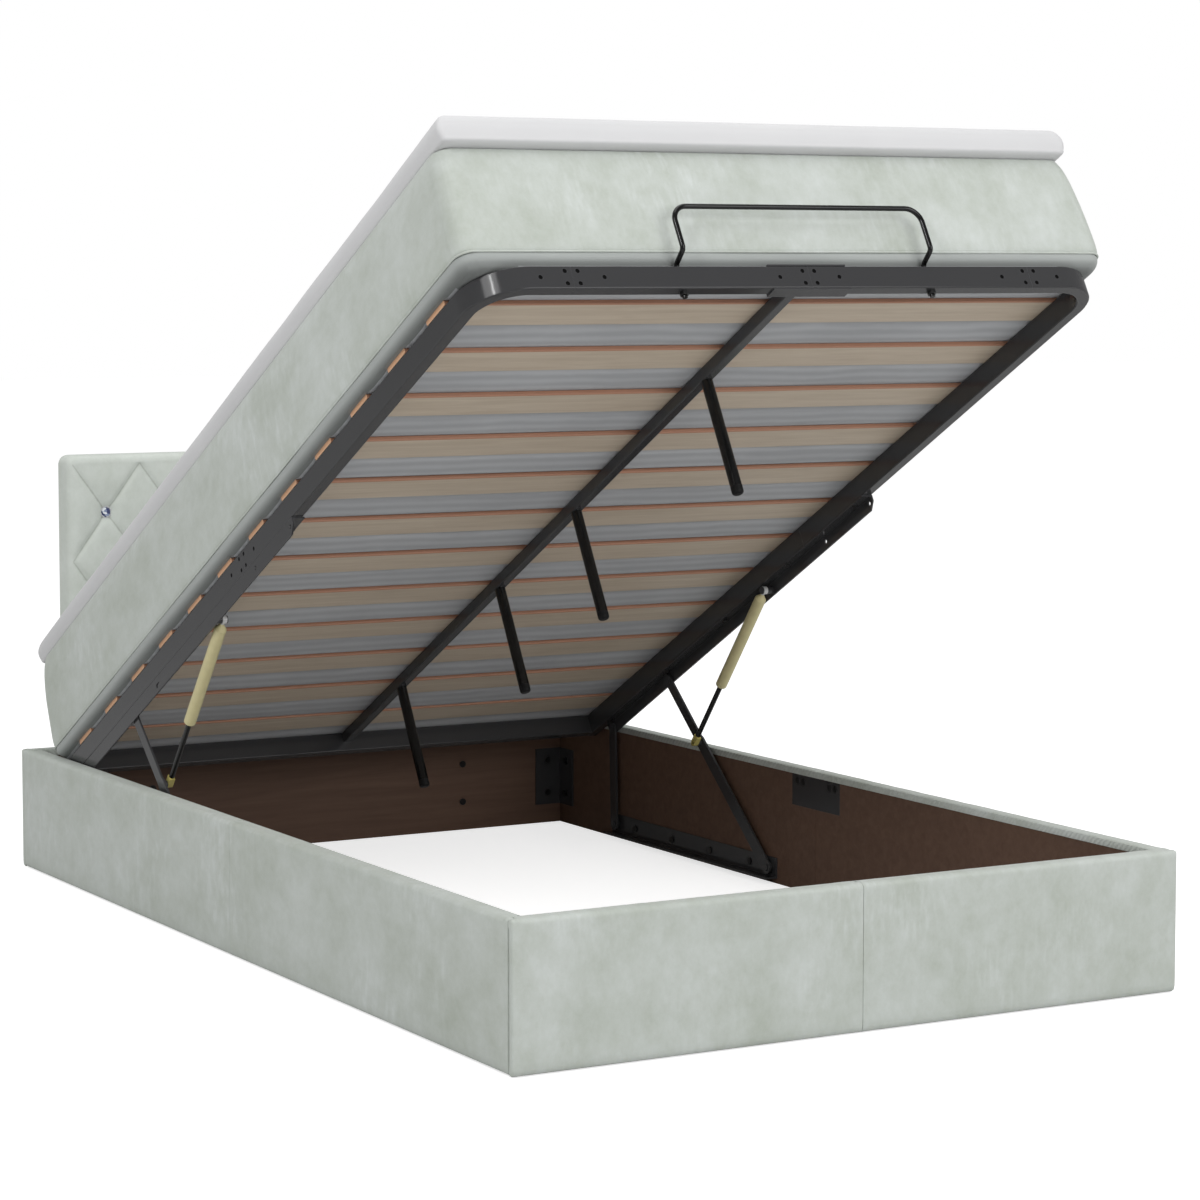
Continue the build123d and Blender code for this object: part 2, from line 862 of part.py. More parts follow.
def side_splice_plane(side):
    """The outer face of a side rail at its splice, its normal pointing away from the lid."""
    y, z = on_lid(side_splice_place, rail_middle)
    return Plane(origin=(side * half_lid, y, z), x_dir=lid_forward, z_dir=(side, 0, 0))


splice_planes = [foot_splice_plane(x) for x in (-foot_splice_place, 0, foot_splice_place)]
splice_planes = splice_planes + [side_splice_plane(side) for side in (-1, 1)]


def tube_section(width, height, radius, wall):
    """A hollow rectangular section in the sketch that is being drawn."""
    RectangleRounded(width, height, radius)
    RectangleRounded(width - 2 * wall, height - 2 * wall, radius - wall / 2, mode=Mode.SUBTRACT)


def straight_rail(start, end, up):
    """A straight length of rail between two points on its own middle line."""
    along = Vector(*end) - Vector(*start)
    with BuildSketch(Plane(origin=start, x_dir=up, z_dir=along)) as section:
        tube_section(rail_height, rail_width, rail_edge_radius, rail_wall)
    extrude(section.sketch, amount=along.length)


def drill_splices():
    """The holes of every splice that this rail reaches."""
    for plane in splice_planes:
        rod(
            plane,
            splice_points,
            splice_screw_radius + hole_clearance,
            -rail_wall * 2,
            mode=Mode.SUBTRACT,
        )


def lid_point(x, place, rise):
    """A point of the lid in the bed's frame."""
    y, z = on_lid(place, rise)
    return (x, y, z)


for side, side_name in ((-1, "left"), (1, "right")):
    with BuildPart() as corner_rail:
        with BuildLine(lid_plane(rail_middle)) as corner_route:
            FilletPolyline(
                (side * (foot_splice_place + half_gap), -foot_rail_place),
                (side * side_rail_x, -foot_rail_place),
                (side * side_rail_x, -(side_splice_place + half_gap)),
                radius=rail_corner_radius - rail_width / 2,
            )
        start = lid_point(side * (foot_splice_place + half_gap), foot_rail_place, rail_middle)
        with BuildSketch(Plane(origin=start, x_dir=lid_normal, z_dir=(side, 0, 0))):
            tube_section(rail_height, rail_width, rail_edge_radius, rail_wall)
        sweep(path=corner_route.wires()[0])
        drill_splices()
    finish(corner_rail.part, "corner_rail_" + side_name)

    with BuildPart() as foot_rail:
        straight_rail(
            lid_point(side * half_gap, foot_rail_place, rail_middle),
            lid_point(side * (foot_splice_place - half_gap), foot_rail_place, rail_middle),
            lid_normal,
        )
        drill_splices()
        rod(
            lid_plane(-overrun),
            [(side * handle_spacing / 2, -foot_rail_place)],
            handle_radius + handle_clearance,
            rail_height + 2 * overrun,
            mode=Mode.SUBTRACT,
        )
    finish(foot_rail.part, "foot_rail_" + side_name)

    with BuildPart() as side_rail:
        straight_rail(
            lid_point(side * side_rail_x, side_splice_place - half_gap, rail_middle),
            lid_point(side * side_rail_x, 0, rail_middle),
            lid_normal,
        )
        drill_splices()
    finish(side_rail.part, "side_rail_" + side_name)

with BuildPart() as head_rail:
    head_rail_half = half_lid - rail_width
    straight_rail(
        lid_point(-head_rail_half, head_rail_place, rail_middle),
        lid_point(head_rail_half, head_rail_place, rail_middle),
        lid_normal,
    )
finish(head_rail.part, "head_rail")

sleeve_height = rail_height - 2 * (rail_wall + sleeve_clearance)
sleeve_width = rail_width - 2 * (rail_wall + sleeve_clearance)
with BuildPart() as splice_sleeves:
    for plane in splice_planes:
        sleeve_start = plane.origin - plane.z_dir * (rail_width / 2)
        sleeve_start = sleeve_start - plane.x_dir * (sleeve_length / 2)
        with BuildSketch(Plane(origin=sleeve_start, x_dir=lid_normal, z_dir=plane.x_dir)):
            tube_section(sleeve_height, sleeve_width, rail_edge_radius, sleeve_wall)
        extrude(amount=sleeve_length)
        rod(
            plane,
            splice_points,
            splice_screw_radius + hole_clearance,
            -splice_screw_grip,
            mode=Mode.SUBTRACT,
        )
finish(splice_sleeves.part, "splice_sleeves")

with BuildPart() as splice_screws:
    for plane in splice_planes:
        recessed = plane.offset(-splice_screw_recess)
        grip = splice_screw_grip - splice_screw_recess
        rod(recessed, splice_points, splice_screw_radius, -grip)
finish(splice_screws.part, "splice_screws")

# A saddle round the middle of the foot rail carries the centre rail
saddle_inner_place = lid_length - rail_width
with BuildPart() as centre_saddle:
    lid_block(
        (-saddle_length / 2, saddle_length / 2),
        (saddle_inner_place - saddle_thickness, lid_length),
        (-saddle_thickness, rail_height + saddle_thickness),
    )
    lid_block(
        (-saddle_length / 2 - overrun, saddle_length / 2 + overrun),
        (saddle_inner_place, lid_length + overrun),
        (0, rail_height),
        mode=Mode.SUBTRACT,
    )
finish(centre_saddle.part, "centre_saddle")

centre_rail_start = saddle_inner_place - saddle_thickness
centre_rail_end = rail_width
centre_rail_middle = rail_height - centre_rail_size / 2
with BuildPart() as centre_rail:
    with BuildSketch(
        Plane(
            origin=lid_point(0, centre_rail_start, centre_rail_middle),
            x_dir=lid_normal,
            z_dir=(0, slope_cos, -slope_sin),
        )
    ):
        tube_section(centre_rail_size, centre_rail_size, rail_edge_radius, centre_rail_wall)
    extrude(amount=centre_rail_start - centre_rail_end)
finish(centre_rail.part, "centre_rail")

support_top = rail_height - centre_rail_size
support_points = [(0, -lid_length * share) for share in support_place_shares]
support_end = support_cap_height - support_drop
with BuildPart() as support_legs:
    rod(lid_plane(support_top), support_points, support_radius, support_end - support_top)
finish(support_legs.part, "support_legs")

cap_plane = lid_plane(-support_drop)
with BuildPart() as support_caps:
    rod(cap_plane, support_points, support_radius, support_cap_height)
    foot_rims = support_caps.edges().filter_by(GeomType.CIRCLE)
    foot_rims = foot_rims.filter_by(
        lambda edge: abs(cap_plane.to_local_coords(edge.center()).Z) < support_cap_height / 2
    )
    fillet(foot_rims, support_cap_radius)
finish(support_caps.part, "support_leg_caps")

# Slats across the rails, screwed down at both ends
last_slat = lid_length - last_slat_inset
slat_places = [
    first_slat + (last_slat - first_slat) * index / (slat_count - 1)
    for index in range(slat_count)
]
slat_screw_points = [
    (side * side_rail_x, -place) for place in slat_places for side in (-1, 1)
]
with BuildPart() as slats:
    with BuildSketch(lid_plane(rail_height)):
        with Locations(*[(0, -place) for place in slat_places]):
            Rectangle(lid_width, slat_width)
    extrude(amount=slat_thickness)
    fillet(slats.edges().filter_by(Axis.X), slat_edge_radius)
    rod(
        lid_plane(rail_height),
        slat_screw_points,
        slat_screw_radius + hole_clearance,
        slat_thickness,
        mode=Mode.SUBTRACT,
    )
    rod(
        lid_plane(slat_top),
        slat_screw_points,
        slat_screw_head_radius + hole_clearance,
        -slat_screw_head_height,
        mode=Mode.SUBTRACT,
    )
finish(slats.part, "slats")

with BuildPart() as slat_screws:
    rod(lid_plane(slat_top), slat_screw_points, slat_screw_head_radius, -slat_screw_head_height)
    rod(lid_plane(slat_top), slat_screw_points, slat_screw_radius, -slat_thickness)
finish(slat_screws.part, "slat_screws")

# The bent-rod handle through the foot rail, with a nut under each end
handle_x = handle_spacing / 2
handle_line = [
    (handle_x, foot_rail_place, -handle_tail),
    (handle_x, foot_rail_place, handle_knee),
    (handle_x, foot_rail_place + handle_reach, handle_elbow),
    (handle_x, foot_rail_place + handle_reach - handle_lean, handle_top),
]
handle_points = [lid_point(*point) for point in handle_line]
handle_points = handle_points + [
    lid_point(-x, place, rise) for x, place, rise in reversed(handle_line)
]
handle_radii = [handle_bend_radius, handle_bend_radius, handle_corner_radius]
with BuildPart() as handle:
    with BuildLine() as handle_route:
        FilletPolyline(*handle_points, radius=handle_radii + handle_radii[::-1])
    with BuildSketch(Plane(origin=handle_points[0], z_dir=lid_normal)):
        Circle(handle_radius)
    sweep(path=handle_route.wires()[0])
finish(handle.part, "pull_handle")

with BuildPart() as handle_nuts:
    with BuildSketch(lid_plane(0)):
        with Locations((handle_x, -foot_rail_place), (-handle_x, -foot_rail_place)):
            RegularPolygon(nut_width / 2, 6, major_radius=False)
            Circle(handle_radius + hole_clearance, mode=Mode.SUBTRACT)
    extrude(amount=-nut_height)
finish(handle_nuts.part, "handle_nuts")

# Angle bars under the side rails carry the pivots of the lifting gear
bar_bolt_step = (lid_bar_end - lid_bar_start - 2 * lid_bar_bolt_inset) / (lid_bar_bolts - 1)
bar_bolt_places = [
    lid_bar_start + lid_bar_bolt_inset + bar_bolt_step * index for index in range(lid_bar_bolts)
]
bar_bolt_x = half_lid - rail_width * 3 / 4
for side, side_name in ((-1, "left"), (1, "right")):
    outer_plane = Plane.YZ.offset(side * half_lid)
    with BuildPart() as lid_bar:
        with BuildSketch(outer_plane):
            with BuildLine():
                Polyline(
                    on_lid(lid_bar_start, 0),
                    on_lid(lid_bar_end, 0),
                    on_lid(lid_bar_end, lid_bar_corner_radius - lid_bar_drop),
                    on_lid(lid_bar_end - lid_bar_corner_radius, -lid_bar_drop),
                    on_lid(lid_bar_start + lid_bar_corner_radius, -lid_bar_drop),
                    on_lid(lid_bar_start, lid_bar_corner_radius - lid_bar_drop),
                    close=True,
                )
            make_face()
        extrude(amount=-side * lid_bar_thickness)
        lid_block(
            (side * lid_bar_inner, side * (half_lid - lid_bar_flange)),
            (lid_bar_start, lid_bar_end),
            (-lid_bar_thickness, 0),
        )
        rod(
            outer_plane,
            [on_lid(place, -lid_bar_hole_drop) for place in lid_bar_hole_places],
            lid_bar_hole_radius,
            -side * lid_bar_thickness,
            mode=Mode.SUBTRACT,
        )
        with BuildSketch(outer_plane):
            with Locations(on_lid(lid_bar_slot_place, -joint_drop)):
                SlotOverall(lid_bar_slot_length, 2 * lid_bar_hole_radius, rotation=-lid_angle)
        extrude(amount=-side * lid_bar_slot_depth, mode=Mode.SUBTRACT)
        rod(
            lid_plane(-lid_bar_thickness),
            [(side * bar_bolt_x, -place) for place in bar_bolt_places],
            lid_bar_bolt_radius + hole_clearance,
            lid_bar_thickness,
            mode=Mode.SUBTRACT,
        )
        inner_plane = Plane.YZ.offset(side * lid_bar_inner)
        joints = [rear_joint, front_joint]
        rod(inner_plane, joints, pivot_head_radius, -side * (link_inset - side_play))
        reach = lid_bar_inner - link_inner + side_play
        rod(inner_plane, [rear_joint], pivot_radius, -side * reach)
        head_plane = Plane.YZ.offset(side * (lid_bar_inner - reach))
        rod(head_plane, [rear_joint], pivot_head_radius, -side * pivot_head_height)
        eye_face = strut_x + eye_width / 2 + side_play
        rod(inner_plane, [strut_joint], pivot_head_radius, -side * (lid_bar_inner - eye_face))
        pin_end = strut_x - eye_width / 2 - side_play
        rod(inner_plane, [strut_joint], pivot_radius, -side * (lid_bar_inner - pin_end))
        head_plane = Plane.YZ.offset(side * pin_end)
        rod(head_plane, [strut_joint], pivot_head_radius, -side * pivot_head_height)
    finish(lid_bar.part, "lid_bar_" + side_name)

with BuildPart() as lid_bar_bolts_part:
    bolt_points = [(side * bar_bolt_x, -place) for place in bar_bolt_places for side in (-1, 1)]
    under = lid_plane(-lid_bar_thickness)
    rod(under, bolt_points, lid_bar_bolt_head_radius, -lid_bar_bolt_head_height)
    rod(under, bolt_points, lid_bar_bolt_radius, lid_bar_thickness)
finish(lid_bar_bolts_part.part, "lid_bar_bolts")

# The gas struts: a cylinder on the lid bar and a rod on the front link
for side, side_name in ((-1, "left"), (1, "right")):
    strut_origin = (side * strut_x, strut_joint[0], strut_joint[1])
    strut_plane = Plane(origin=strut_origin, x_dir=(1, 0, 0), z_dir=strut_direction)
    half_plane = Plane(
        origin=strut_origin, x_dir=(1, 0, 0), z_dir=strut_plane.y_dir
    )
    eye_plane = Plane.YZ.offset(side * strut_x)
    with BuildPart() as strut_cylinder:
        with BuildSketch(half_plane):
            with BuildLine():
                Polyline(
                    (0, -strut_neck_start),
                    (strut_neck_radius, -strut_neck_start),
                    (strut_neck_radius, -strut_shoulder_start),
                    (strut_radius, -strut_shoulder_end),
                    (strut_radius, -strut_body_end),
                    (0, -strut_body_end),
                    close=True,
                )
            make_face()
        revolve(axis=Axis(strut_origin, strut_direction))
        rim = strut_cylinder.edges().filter_by(GeomType.CIRCLE)
        rim = rim.sort_by(Axis(strut_origin, strut_direction))[-1]
        fillet(rim, strut_end_radius)
        rod(eye_plane.offset(-eye_width / 2), [strut_joint], eye_radius, eye_width)
        rod(
            eye_plane.offset(-eye_width),
            [strut_joint],
            pivot_hole_radius,
            2 * eye_width,
            mode=Mode.SUBTRACT,
        )
        bore_length = strut_body_end - strut_guide_length - strut_bore_start
        rod(
            strut_plane.offset(strut_bore_start),
            [(0, 0)],
            strut_bore_radius,
            bore_length,
            mode=Mode.SUBTRACT,
        )
        rod(
            strut_plane.offset(strut_bore_start),
            [(0, 0)],
            strut_rod_radius + strut_running_clearance,
            strut_body_end,
            mode=Mode.SUBTRACT,
        )
    finish(strut_cylinder.part, "strut_cylinder_" + side_name)

    with BuildPart() as strut_rod:
        rod_end = strut_length - clevis_length
        rod(
            strut_plane.offset(strut_rod_start),
            [(0, 0)],
            strut_rod_radius,
            rod_end - strut_rod_start,
        )
        rod(
            strut_plane.offset(strut_rod_start),
            [(0, 0)],
            strut_bore_radius - strut_running_clearance,
            strut_piston_length,
        )
        with BuildSketch(strut_plane.offset(rod_end)):
            Rectangle(clevis_width, clevis_height)
        extrude(amount=clevis_length)
        clevis_plane = Plane.YZ.offset(side * strut_x - clevis_width / 2)
        rod(clevis_plane, [strut_foot], clevis_height / 2, clevis_width)
        rod(clevis_plane, [strut_foot], clevis_hole_radius, clevis_width, mode=Mode.SUBTRACT)
    finish(strut_rod.part, "strut_rod_" + side_name)


# The mattress and topper: lofted through their seams and their fullest line
def cushion(width, height, ends, bottom, corner_radius, bulge, section_shares):
    """A soft block with drawn-in seams, from its bottom on the lid upwards."""
    head_overhang, foot_inset = ends
    length = lid_length + head_overhang - foot_inset
    middle_place = length / 2 - head_overhang
    with BuildPart() as soft:
        for height_share, inset_share in section_shares:
            inset = bulge * inset_share
            with BuildSketch(lid_plane(bottom + height * height_share)):
                with Locations((0, -middle_place)):
                    RectangleRounded(width - 2 * inset, length - 2 * inset, corner_radius)
        loft()
    return soft.part


mattress_section_shares = (
    (0, 1),
    (0.035, 0.5),
    (0.1, 0.1),
    (0.25, 0),
    (0.6, 0.22),
    (0.9, 0.65),
    (1, 1),
)
mattress = cushion(
    lid_width + 2 * mattress_side_overhang,
    mattress_height,
    (mattress_head_overhang, mattress_foot_inset),
    slat_top,
    mattress_corner_radius,
    mattress_bulge,
    mattress_section_shares,
)
finish(mattress, "mattress")

topper_section_shares = ((0, 0.8), (0.2, 0.15), (0.5, 0), (0.8, 0.15), (1, 1))
topper = cushion(
    lid_width + 2 * topper_side_overhang,
    topper_height,
    (topper_head_overhang, topper_foot_inset),
    slat_top + mattress_height,
    topper_corner_radius,
    topper_bulge,
    topper_section_shares,
)
finish(topper, "mattress_topper")
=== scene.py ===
# %% [markdown]
# # An ottoman bed in grey-green velvet
# A storage bed stands open: a padded box, a tufted headboard with glass buttons, and a steel lid
# frame with slats that carries the mattress and swings up on two links and two gas struts.
# The measured frame comes from CAD and stays as it is. Blender adds the cloth and the finishes.

# %% Load the frame
import json
import math

import bmesh
import bpy
import numpy as np
from mathutils import Matrix, Vector, noise

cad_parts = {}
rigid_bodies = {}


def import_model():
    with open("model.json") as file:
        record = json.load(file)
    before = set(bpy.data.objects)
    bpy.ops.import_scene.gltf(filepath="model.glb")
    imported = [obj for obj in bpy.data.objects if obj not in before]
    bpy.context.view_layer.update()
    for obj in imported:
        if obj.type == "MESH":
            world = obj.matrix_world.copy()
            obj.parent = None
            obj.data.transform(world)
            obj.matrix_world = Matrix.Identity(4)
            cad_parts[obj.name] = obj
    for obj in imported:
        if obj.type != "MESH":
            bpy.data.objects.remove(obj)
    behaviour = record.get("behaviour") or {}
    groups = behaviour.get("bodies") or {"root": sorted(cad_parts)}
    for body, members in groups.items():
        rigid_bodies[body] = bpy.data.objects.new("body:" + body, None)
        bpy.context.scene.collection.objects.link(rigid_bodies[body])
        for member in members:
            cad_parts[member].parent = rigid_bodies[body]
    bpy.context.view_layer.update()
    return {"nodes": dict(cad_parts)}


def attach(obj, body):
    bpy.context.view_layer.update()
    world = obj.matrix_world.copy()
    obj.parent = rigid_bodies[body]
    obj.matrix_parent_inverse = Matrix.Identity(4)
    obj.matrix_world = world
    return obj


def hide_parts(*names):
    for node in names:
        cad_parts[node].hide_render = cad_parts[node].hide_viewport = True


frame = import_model()

# %% [markdown]
# ## Camera
# The bed was photographed from its foot, a little to the left and above, with a long lens.
# A long lens far away keeps the box's edges almost parallel, and a little lens shift keeps its
# upright edges upright.

# %% Place the camera
CAMERA_PLACE = (-2.9260, -5.4106, 1.1765)
CAMERA_TURN = 29.491
CAMERA_DROP = 4.483
CAMERA_LENS = 102.68
CAMERA_SENSOR = 36
CAMERA_SHIFT = -0.05

camera_data = bpy.data.cameras.new("photo_camera")
camera_data.lens = CAMERA_LENS
camera_data.sensor_width = CAMERA_SENSOR
camera_data.shift_y = CAMERA_SHIFT
camera = bpy.data.objects.new("photo_camera", camera_data)
bpy.context.scene.collection.objects.link(camera)
camera.location = CAMERA_PLACE
camera.rotation_euler = (math.radians(90 - CAMERA_DROP), 0, -math.radians(CAMERA_TURN))
bpy.context.scene.camera = camera
bpy.context.scene.view_settings.view_transform = "Standard"

# %% [markdown]
# ## Node helpers
# A finish is a small machine of nodes. Short helpers keep the recipes readable. They take plain
# values and other nodes' outputs alike, so a recipe reads as a list of what feeds what.

# %% Helpers for nodes
def feed(tree, socket, value):
    """Set one input to a plain value, or link it to another node's output."""
    if isinstance(value, bpy.types.NodeSocket):
        tree.links.new(value, socket)
    else:
        socket.default_value = value


def give(tree, node, **values):
    """Set or link inputs of a node by name."""
    for key, value in values.items():
        feed(tree, node.inputs[key.replace("_", " ")], value)


def add_node(tree, kind, **values):
    """Add a node. Names with a capital are its inputs and the others are its properties."""
    made = tree.nodes.new("ShaderNode" + kind)
    for key, value in values.items():
        if key[0].islower():
            setattr(made, key, value)
    give(tree, made, **{key: value for key, value in values.items() if key[0].isupper()})
    return made


def maths(tree, operation, *values, clamp=False):
    """The result of a Math node, its inputs given in their order."""
    made = add_node(tree, "Math", operation=operation, use_clamp=clamp)
    for socket, value in zip(made.inputs, values):
        feed(tree, socket, value)
    return made.outputs[0]


def spread(tree, value, low, high, to_low=0.0, to_high=1.0):
    """Values between two limits, spread over 0 to 1 or over another range."""
    made = add_node(
        tree, "MapRange", Value=value, From_Min=low, From_Max=high, To_Min=to_low, To_Max=to_high
    )
    return made.outputs["Result"]


def clouded(tree, vector, **settings):
    """Cloudy noise between 0 and 1."""
    return add_node(tree, "TexNoise", Vector=vector, **settings).outputs["Fac"]


def blend(tree, share, first, second, blend_type="MIX"):
    """A colour between two: all the first at a share of 0, all the second at 1."""
    made = add_node(
        tree, "Mix", data_type="RGBA", blend_type=blend_type, Factor=share, A=first, B=second
    )
    return made.outputs["Result"]


def axes_of(tree, vector):
    """The three parts of a vector, as outputs named X, Y and Z."""
    return add_node(tree, "SeparateXYZ", Vector=vector).outputs


def start_group(name, inputs, outputs):
    """A new node group with named sockets; inputs are (name, kind, default)."""
    tree = bpy.data.node_groups.new(name, "ShaderNodeTree")
    for label, kind, default in inputs:
        socket = tree.interface.new_socket(label, in_out="INPUT", socket_type="NodeSocket" + kind)
        if default is not None:
            socket.default_value = default
    for label, kind in outputs:
        tree.interface.new_socket(label, in_out="OUTPUT", socket_type="NodeSocket" + kind)
    return tree, tree.nodes.new("NodeGroupInput").outputs, tree.nodes.new("NodeGroupOutput")


def start_material(name, roughness, **sockets):
    """A material with its shader's plain sockets set, and the piece's own coordinates."""
    look = bpy.data.materials.new(name)
    look.use_nodes = True
    tree = look.node_tree
    shader = tree.nodes["Principled BSDF"]
    give(tree, shader, Roughness=roughness, **sockets)
    place = tree.nodes.new("ShaderNodeTexCoord").outputs
    return look, tree, shader, place


def add_group(tree, group, vector, **values):
    """Place a group in a material with its own values."""
    made = tree.nodes.new("ShaderNodeGroup")
    made.node_tree = group
    give(tree, made, Vector=vector, **values)
    return made.outputs


def raise_surface(tree, shader, height, strength, distance):
    """Feed a height through a Bump node into the shader's Normal."""
    bump = add_node(tree, "Bump", Height=height, Strength=strength, Distance=distance)
    give(tree, shader, Normal=bump.outputs["Normal"])


def turned(tree, place, degrees_about_x):
    """Coordinates turned with a tilted piece, so that its pattern runs straight along it."""
    turn = (math.radians(degrees_about_x), 0, 0)
    return add_node(tree, "Mapping", Vector=place["Object"], Rotation=turn).outputs["Vector"]


# %% [markdown]
# ## Light
# Studio photographs of furniture are lit by large soft sources, so the shadows have no hard
# edge. The brighter lamp stands in front on the right, which makes the foot end lighter than
# the long side. The world and the floor look white to the camera and light the bed more dimly.
# Mirrored rays see a dimmer world still, so that black steel stays black. A narrow strip draws
# the bright streak on the rounded corner of the lid.

# %% Lamps, world and floor
def soft_lamp(name, place, target, size, watts):
    """A square lamp that faces a point."""
    lamp_data = bpy.data.lights.new(name, "AREA")
    lamp_data.size = size
    lamp_data.energy = watts
    lamp = bpy.data.objects.new(name, lamp_data)
    bpy.context.scene.collection.objects.link(lamp)
    lamp.location = place
    aim = Vector(target) - Vector(place)
    lamp.rotation_euler = aim.to_track_quat("-Z", "Y").to_euler()
    return lamp


STRIP_WIDTH = 0.04
STRIP_LENGTH = 1.6

soft_lamp("key_lamp", (1.6, -5.8, 3.0), (0, -0.5, 0.6), 4.0, 142)
soft_lamp("side_lamp", (-4.4, -2.0, 4.2), (-0.3, 0, 0.5), 2.4, 72)
soft_lamp("top_lamp", (0.3, 0.2, 5.0), (0, 0, 0.5), 3.5, 66)
strip = soft_lamp("strip_lamp", (-3.46, -1.99, 3.64), (-0.5, -0.95, 1.15), STRIP_WIDTH, 20)
strip.data.shape = "RECTANGLE"
strip.data.size_y = STRIP_LENGTH

WORLD_SEEN = 1.0
WORLD_LIGHT = 0.50
WORLD_MIRRORED = 0.26
FLOOR_GLOW = 0.71
FLOOR_SIZE = 60
WHITE = (1, 1, 1, 1)


def seen_strength(tree, seen_value, dim_value, mirrored_value):
    """One strength where the camera looks, a dimmer one for light and one for mirrored rays."""
    ray = tree.nodes.new("ShaderNodeLightPath").outputs
    unseen = spread(tree, ray["Is Glossy Ray"], 0, 1, dim_value, mirrored_value)
    return spread(tree, ray["Is Camera Ray"], 0, 1, unseen, seen_value)


world = bpy.data.worlds.new("studio_world")
bpy.context.scene.world = world
world.use_nodes = True
world_strength = seen_strength(world.node_tree, WORLD_SEEN, WORLD_LIGHT, WORLD_MIRRORED)
give(world.node_tree, world.node_tree.nodes["Background"], Color=WHITE, Strength=world_strength)

bpy.ops.object.select_all(action="DESELECT")
bpy.ops.mesh.primitive_plane_add(size=FLOOR_SIZE, location=(0, 0, 0))
floor = bpy.context.object
floor.name = "studio_floor"
floor_look, floor_tree, floor_shader = start_material(
    "white_floor", 0.9, Base_Color=(0.66, 0.66, 0.66, 1), Specular_IOR_Level=0.1
)[:3]
floor_strength = seen_strength(floor_tree, FLOOR_GLOW, 0.0, 0.0)
give(floor_tree, floor_shader, Emission_Color=WHITE, Emission_Strength=floor_strength)
floor.data.materials.append(floor_look)

# %% [markdown]
# ## Velvet
# Velvet is a short pile that leans one way or another where hands have brushed it. That gives
# cloudy lighter and darker patches, drawn out upright, with faint brush marks in them, and a
# pale sheen at grazing angles. One group makes the clouds, the marks and the pile's fine bump.

# %% The velvet group
velvet_pile, pile_in, pile_out = start_group(
    "velvet_pile",
    [
        ("Vector", "Vector", None),
        ("Pile Light", "Color", (0.6, 0.65, 0.6, 1)),
        ("Pile Dark", "Color", (0.4, 0.44, 0.4, 1)),
        ("Cloud Scale", "Float", 3.0),
        ("Brush Strength", "Float", 0.35),
    ],
    [("Color", "Color"), ("Height", "Float"), ("Roughness", "Float")],
)
stretched = add_node(
    velvet_pile, "Mapping", Vector=pile_in["Vector"], Scale=(1.0, 0.6, 0.8)
).outputs[0]
clouds = clouded(
    velvet_pile,
    stretched,
    Scale=pile_in["Cloud Scale"],
    Detail=5.0,
    Roughness=0.5,
    Distortion=0.25,
)
mottle = clouded(velvet_pile, stretched, Scale=24.0, Detail=8.0, Roughness=0.74)
blotches = add_node(
    velvet_pile,
    "Mix",
    Factor=0.6,
    A=spread(velvet_pile, clouds, 0.3, 0.7),
    B=spread(velvet_pile, mottle, 0.25, 0.75),
).outputs[0]
brushed = add_node(
    velvet_pile, "Mapping", Vector=pile_in["Vector"], Scale=(105.0, 60.0, 24.0)
).outputs[0]
brush_marks = clouded(velvet_pile, brushed, Scale=1.0, Detail=2.0, Roughness=0.5)
marks = spread(velvet_pile, brush_marks, 0.48, 0.75)
brushed_places = clouded(velvet_pile, pile_in["Vector"], Scale=4.5, Detail=2.0)
brushed_mask = spread(
    velvet_pile, brushed_places, 0.48, 0.66, to_high=pile_in["Brush Strength"]
)
lean = maths(velvet_pile, "MULTIPLY_ADD", marks, brushed_mask, blotches, clamp=True)
fine_pile = clouded(velvet_pile, pile_in["Vector"], Scale=900.0, Detail=2.0)
give(
    velvet_pile,
    pile_out,
    Color=blend(velvet_pile, lean, pile_in["Pile Dark"], pile_in["Pile Light"]),
    Height=maths(velvet_pile, "ADD", fine_pile, mottle),
    Roughness=spread(velvet_pile, lean, 0, 1, 0.95, 0.78),
)

# %% Velvet for the upright pieces and for the tilted mattress
LID_ANGLE = 28.861
VELVET_LIGHT = (0.622, 0.656, 0.638, 1)
VELVET_DARK = (0.402, 0.437, 0.376, 1)


def velvet(name, tilt, light=VELVET_LIGHT, dark=VELVET_DARK):
    """Velvet whose brushed direction stands upright on a piece tilted about X."""
    look, tree, shader, place = start_material(
        name,
        0.88,
        Specular_IOR_Level=0.2,
        Sheen_Weight=0.35,
        Sheen_Roughness=0.45,
        Sheen_Tint=(0.92, 0.96, 0.92, 1),
    )
    pile = add_group(
        tree,
        velvet_pile,
        turned(tree, place, tilt),
        Pile_Light=light,
        Pile_Dark=dark,
        Cloud_Scale=6.5,
        Brush_Strength=0.32,
    )
    give(tree, shader, Base_Color=pile["Color"], Roughness=pile["Roughness"])
    return look, tree, shader, place, pile


def raised_velvet(name, tilt, **colours):
    """Velvet with its pile's own fine bump."""
    look, tree, shader, place, pile = velvet(name, tilt, **colours)
    raise_surface(tree, shader, pile["Height"], 0.3, 0.0005)
    return look, tree, shader, place, pile


velvet_upright = raised_velvet("velvet_upright", 0)[0]
velvet_tilted = raised_velvet("velvet_tilted", LID_ANGLE)[0]

# %% Velvet with small gathers for the hems
velvet_hem, hem_tree, hem_shader, hem_place = velvet("velvet_hem", 0)[:4]
gathers = add_node(
    hem_tree,
    "TexWave",
    bands_direction="DIAGONAL",
    Vector=hem_place["Object"],
    Scale=55.0,
    Distortion=2.5,
    Detail=2.0,
)
raise_surface(hem_tree, hem_shader, gathers.outputs["Fac"], 0.6, 0.0012)
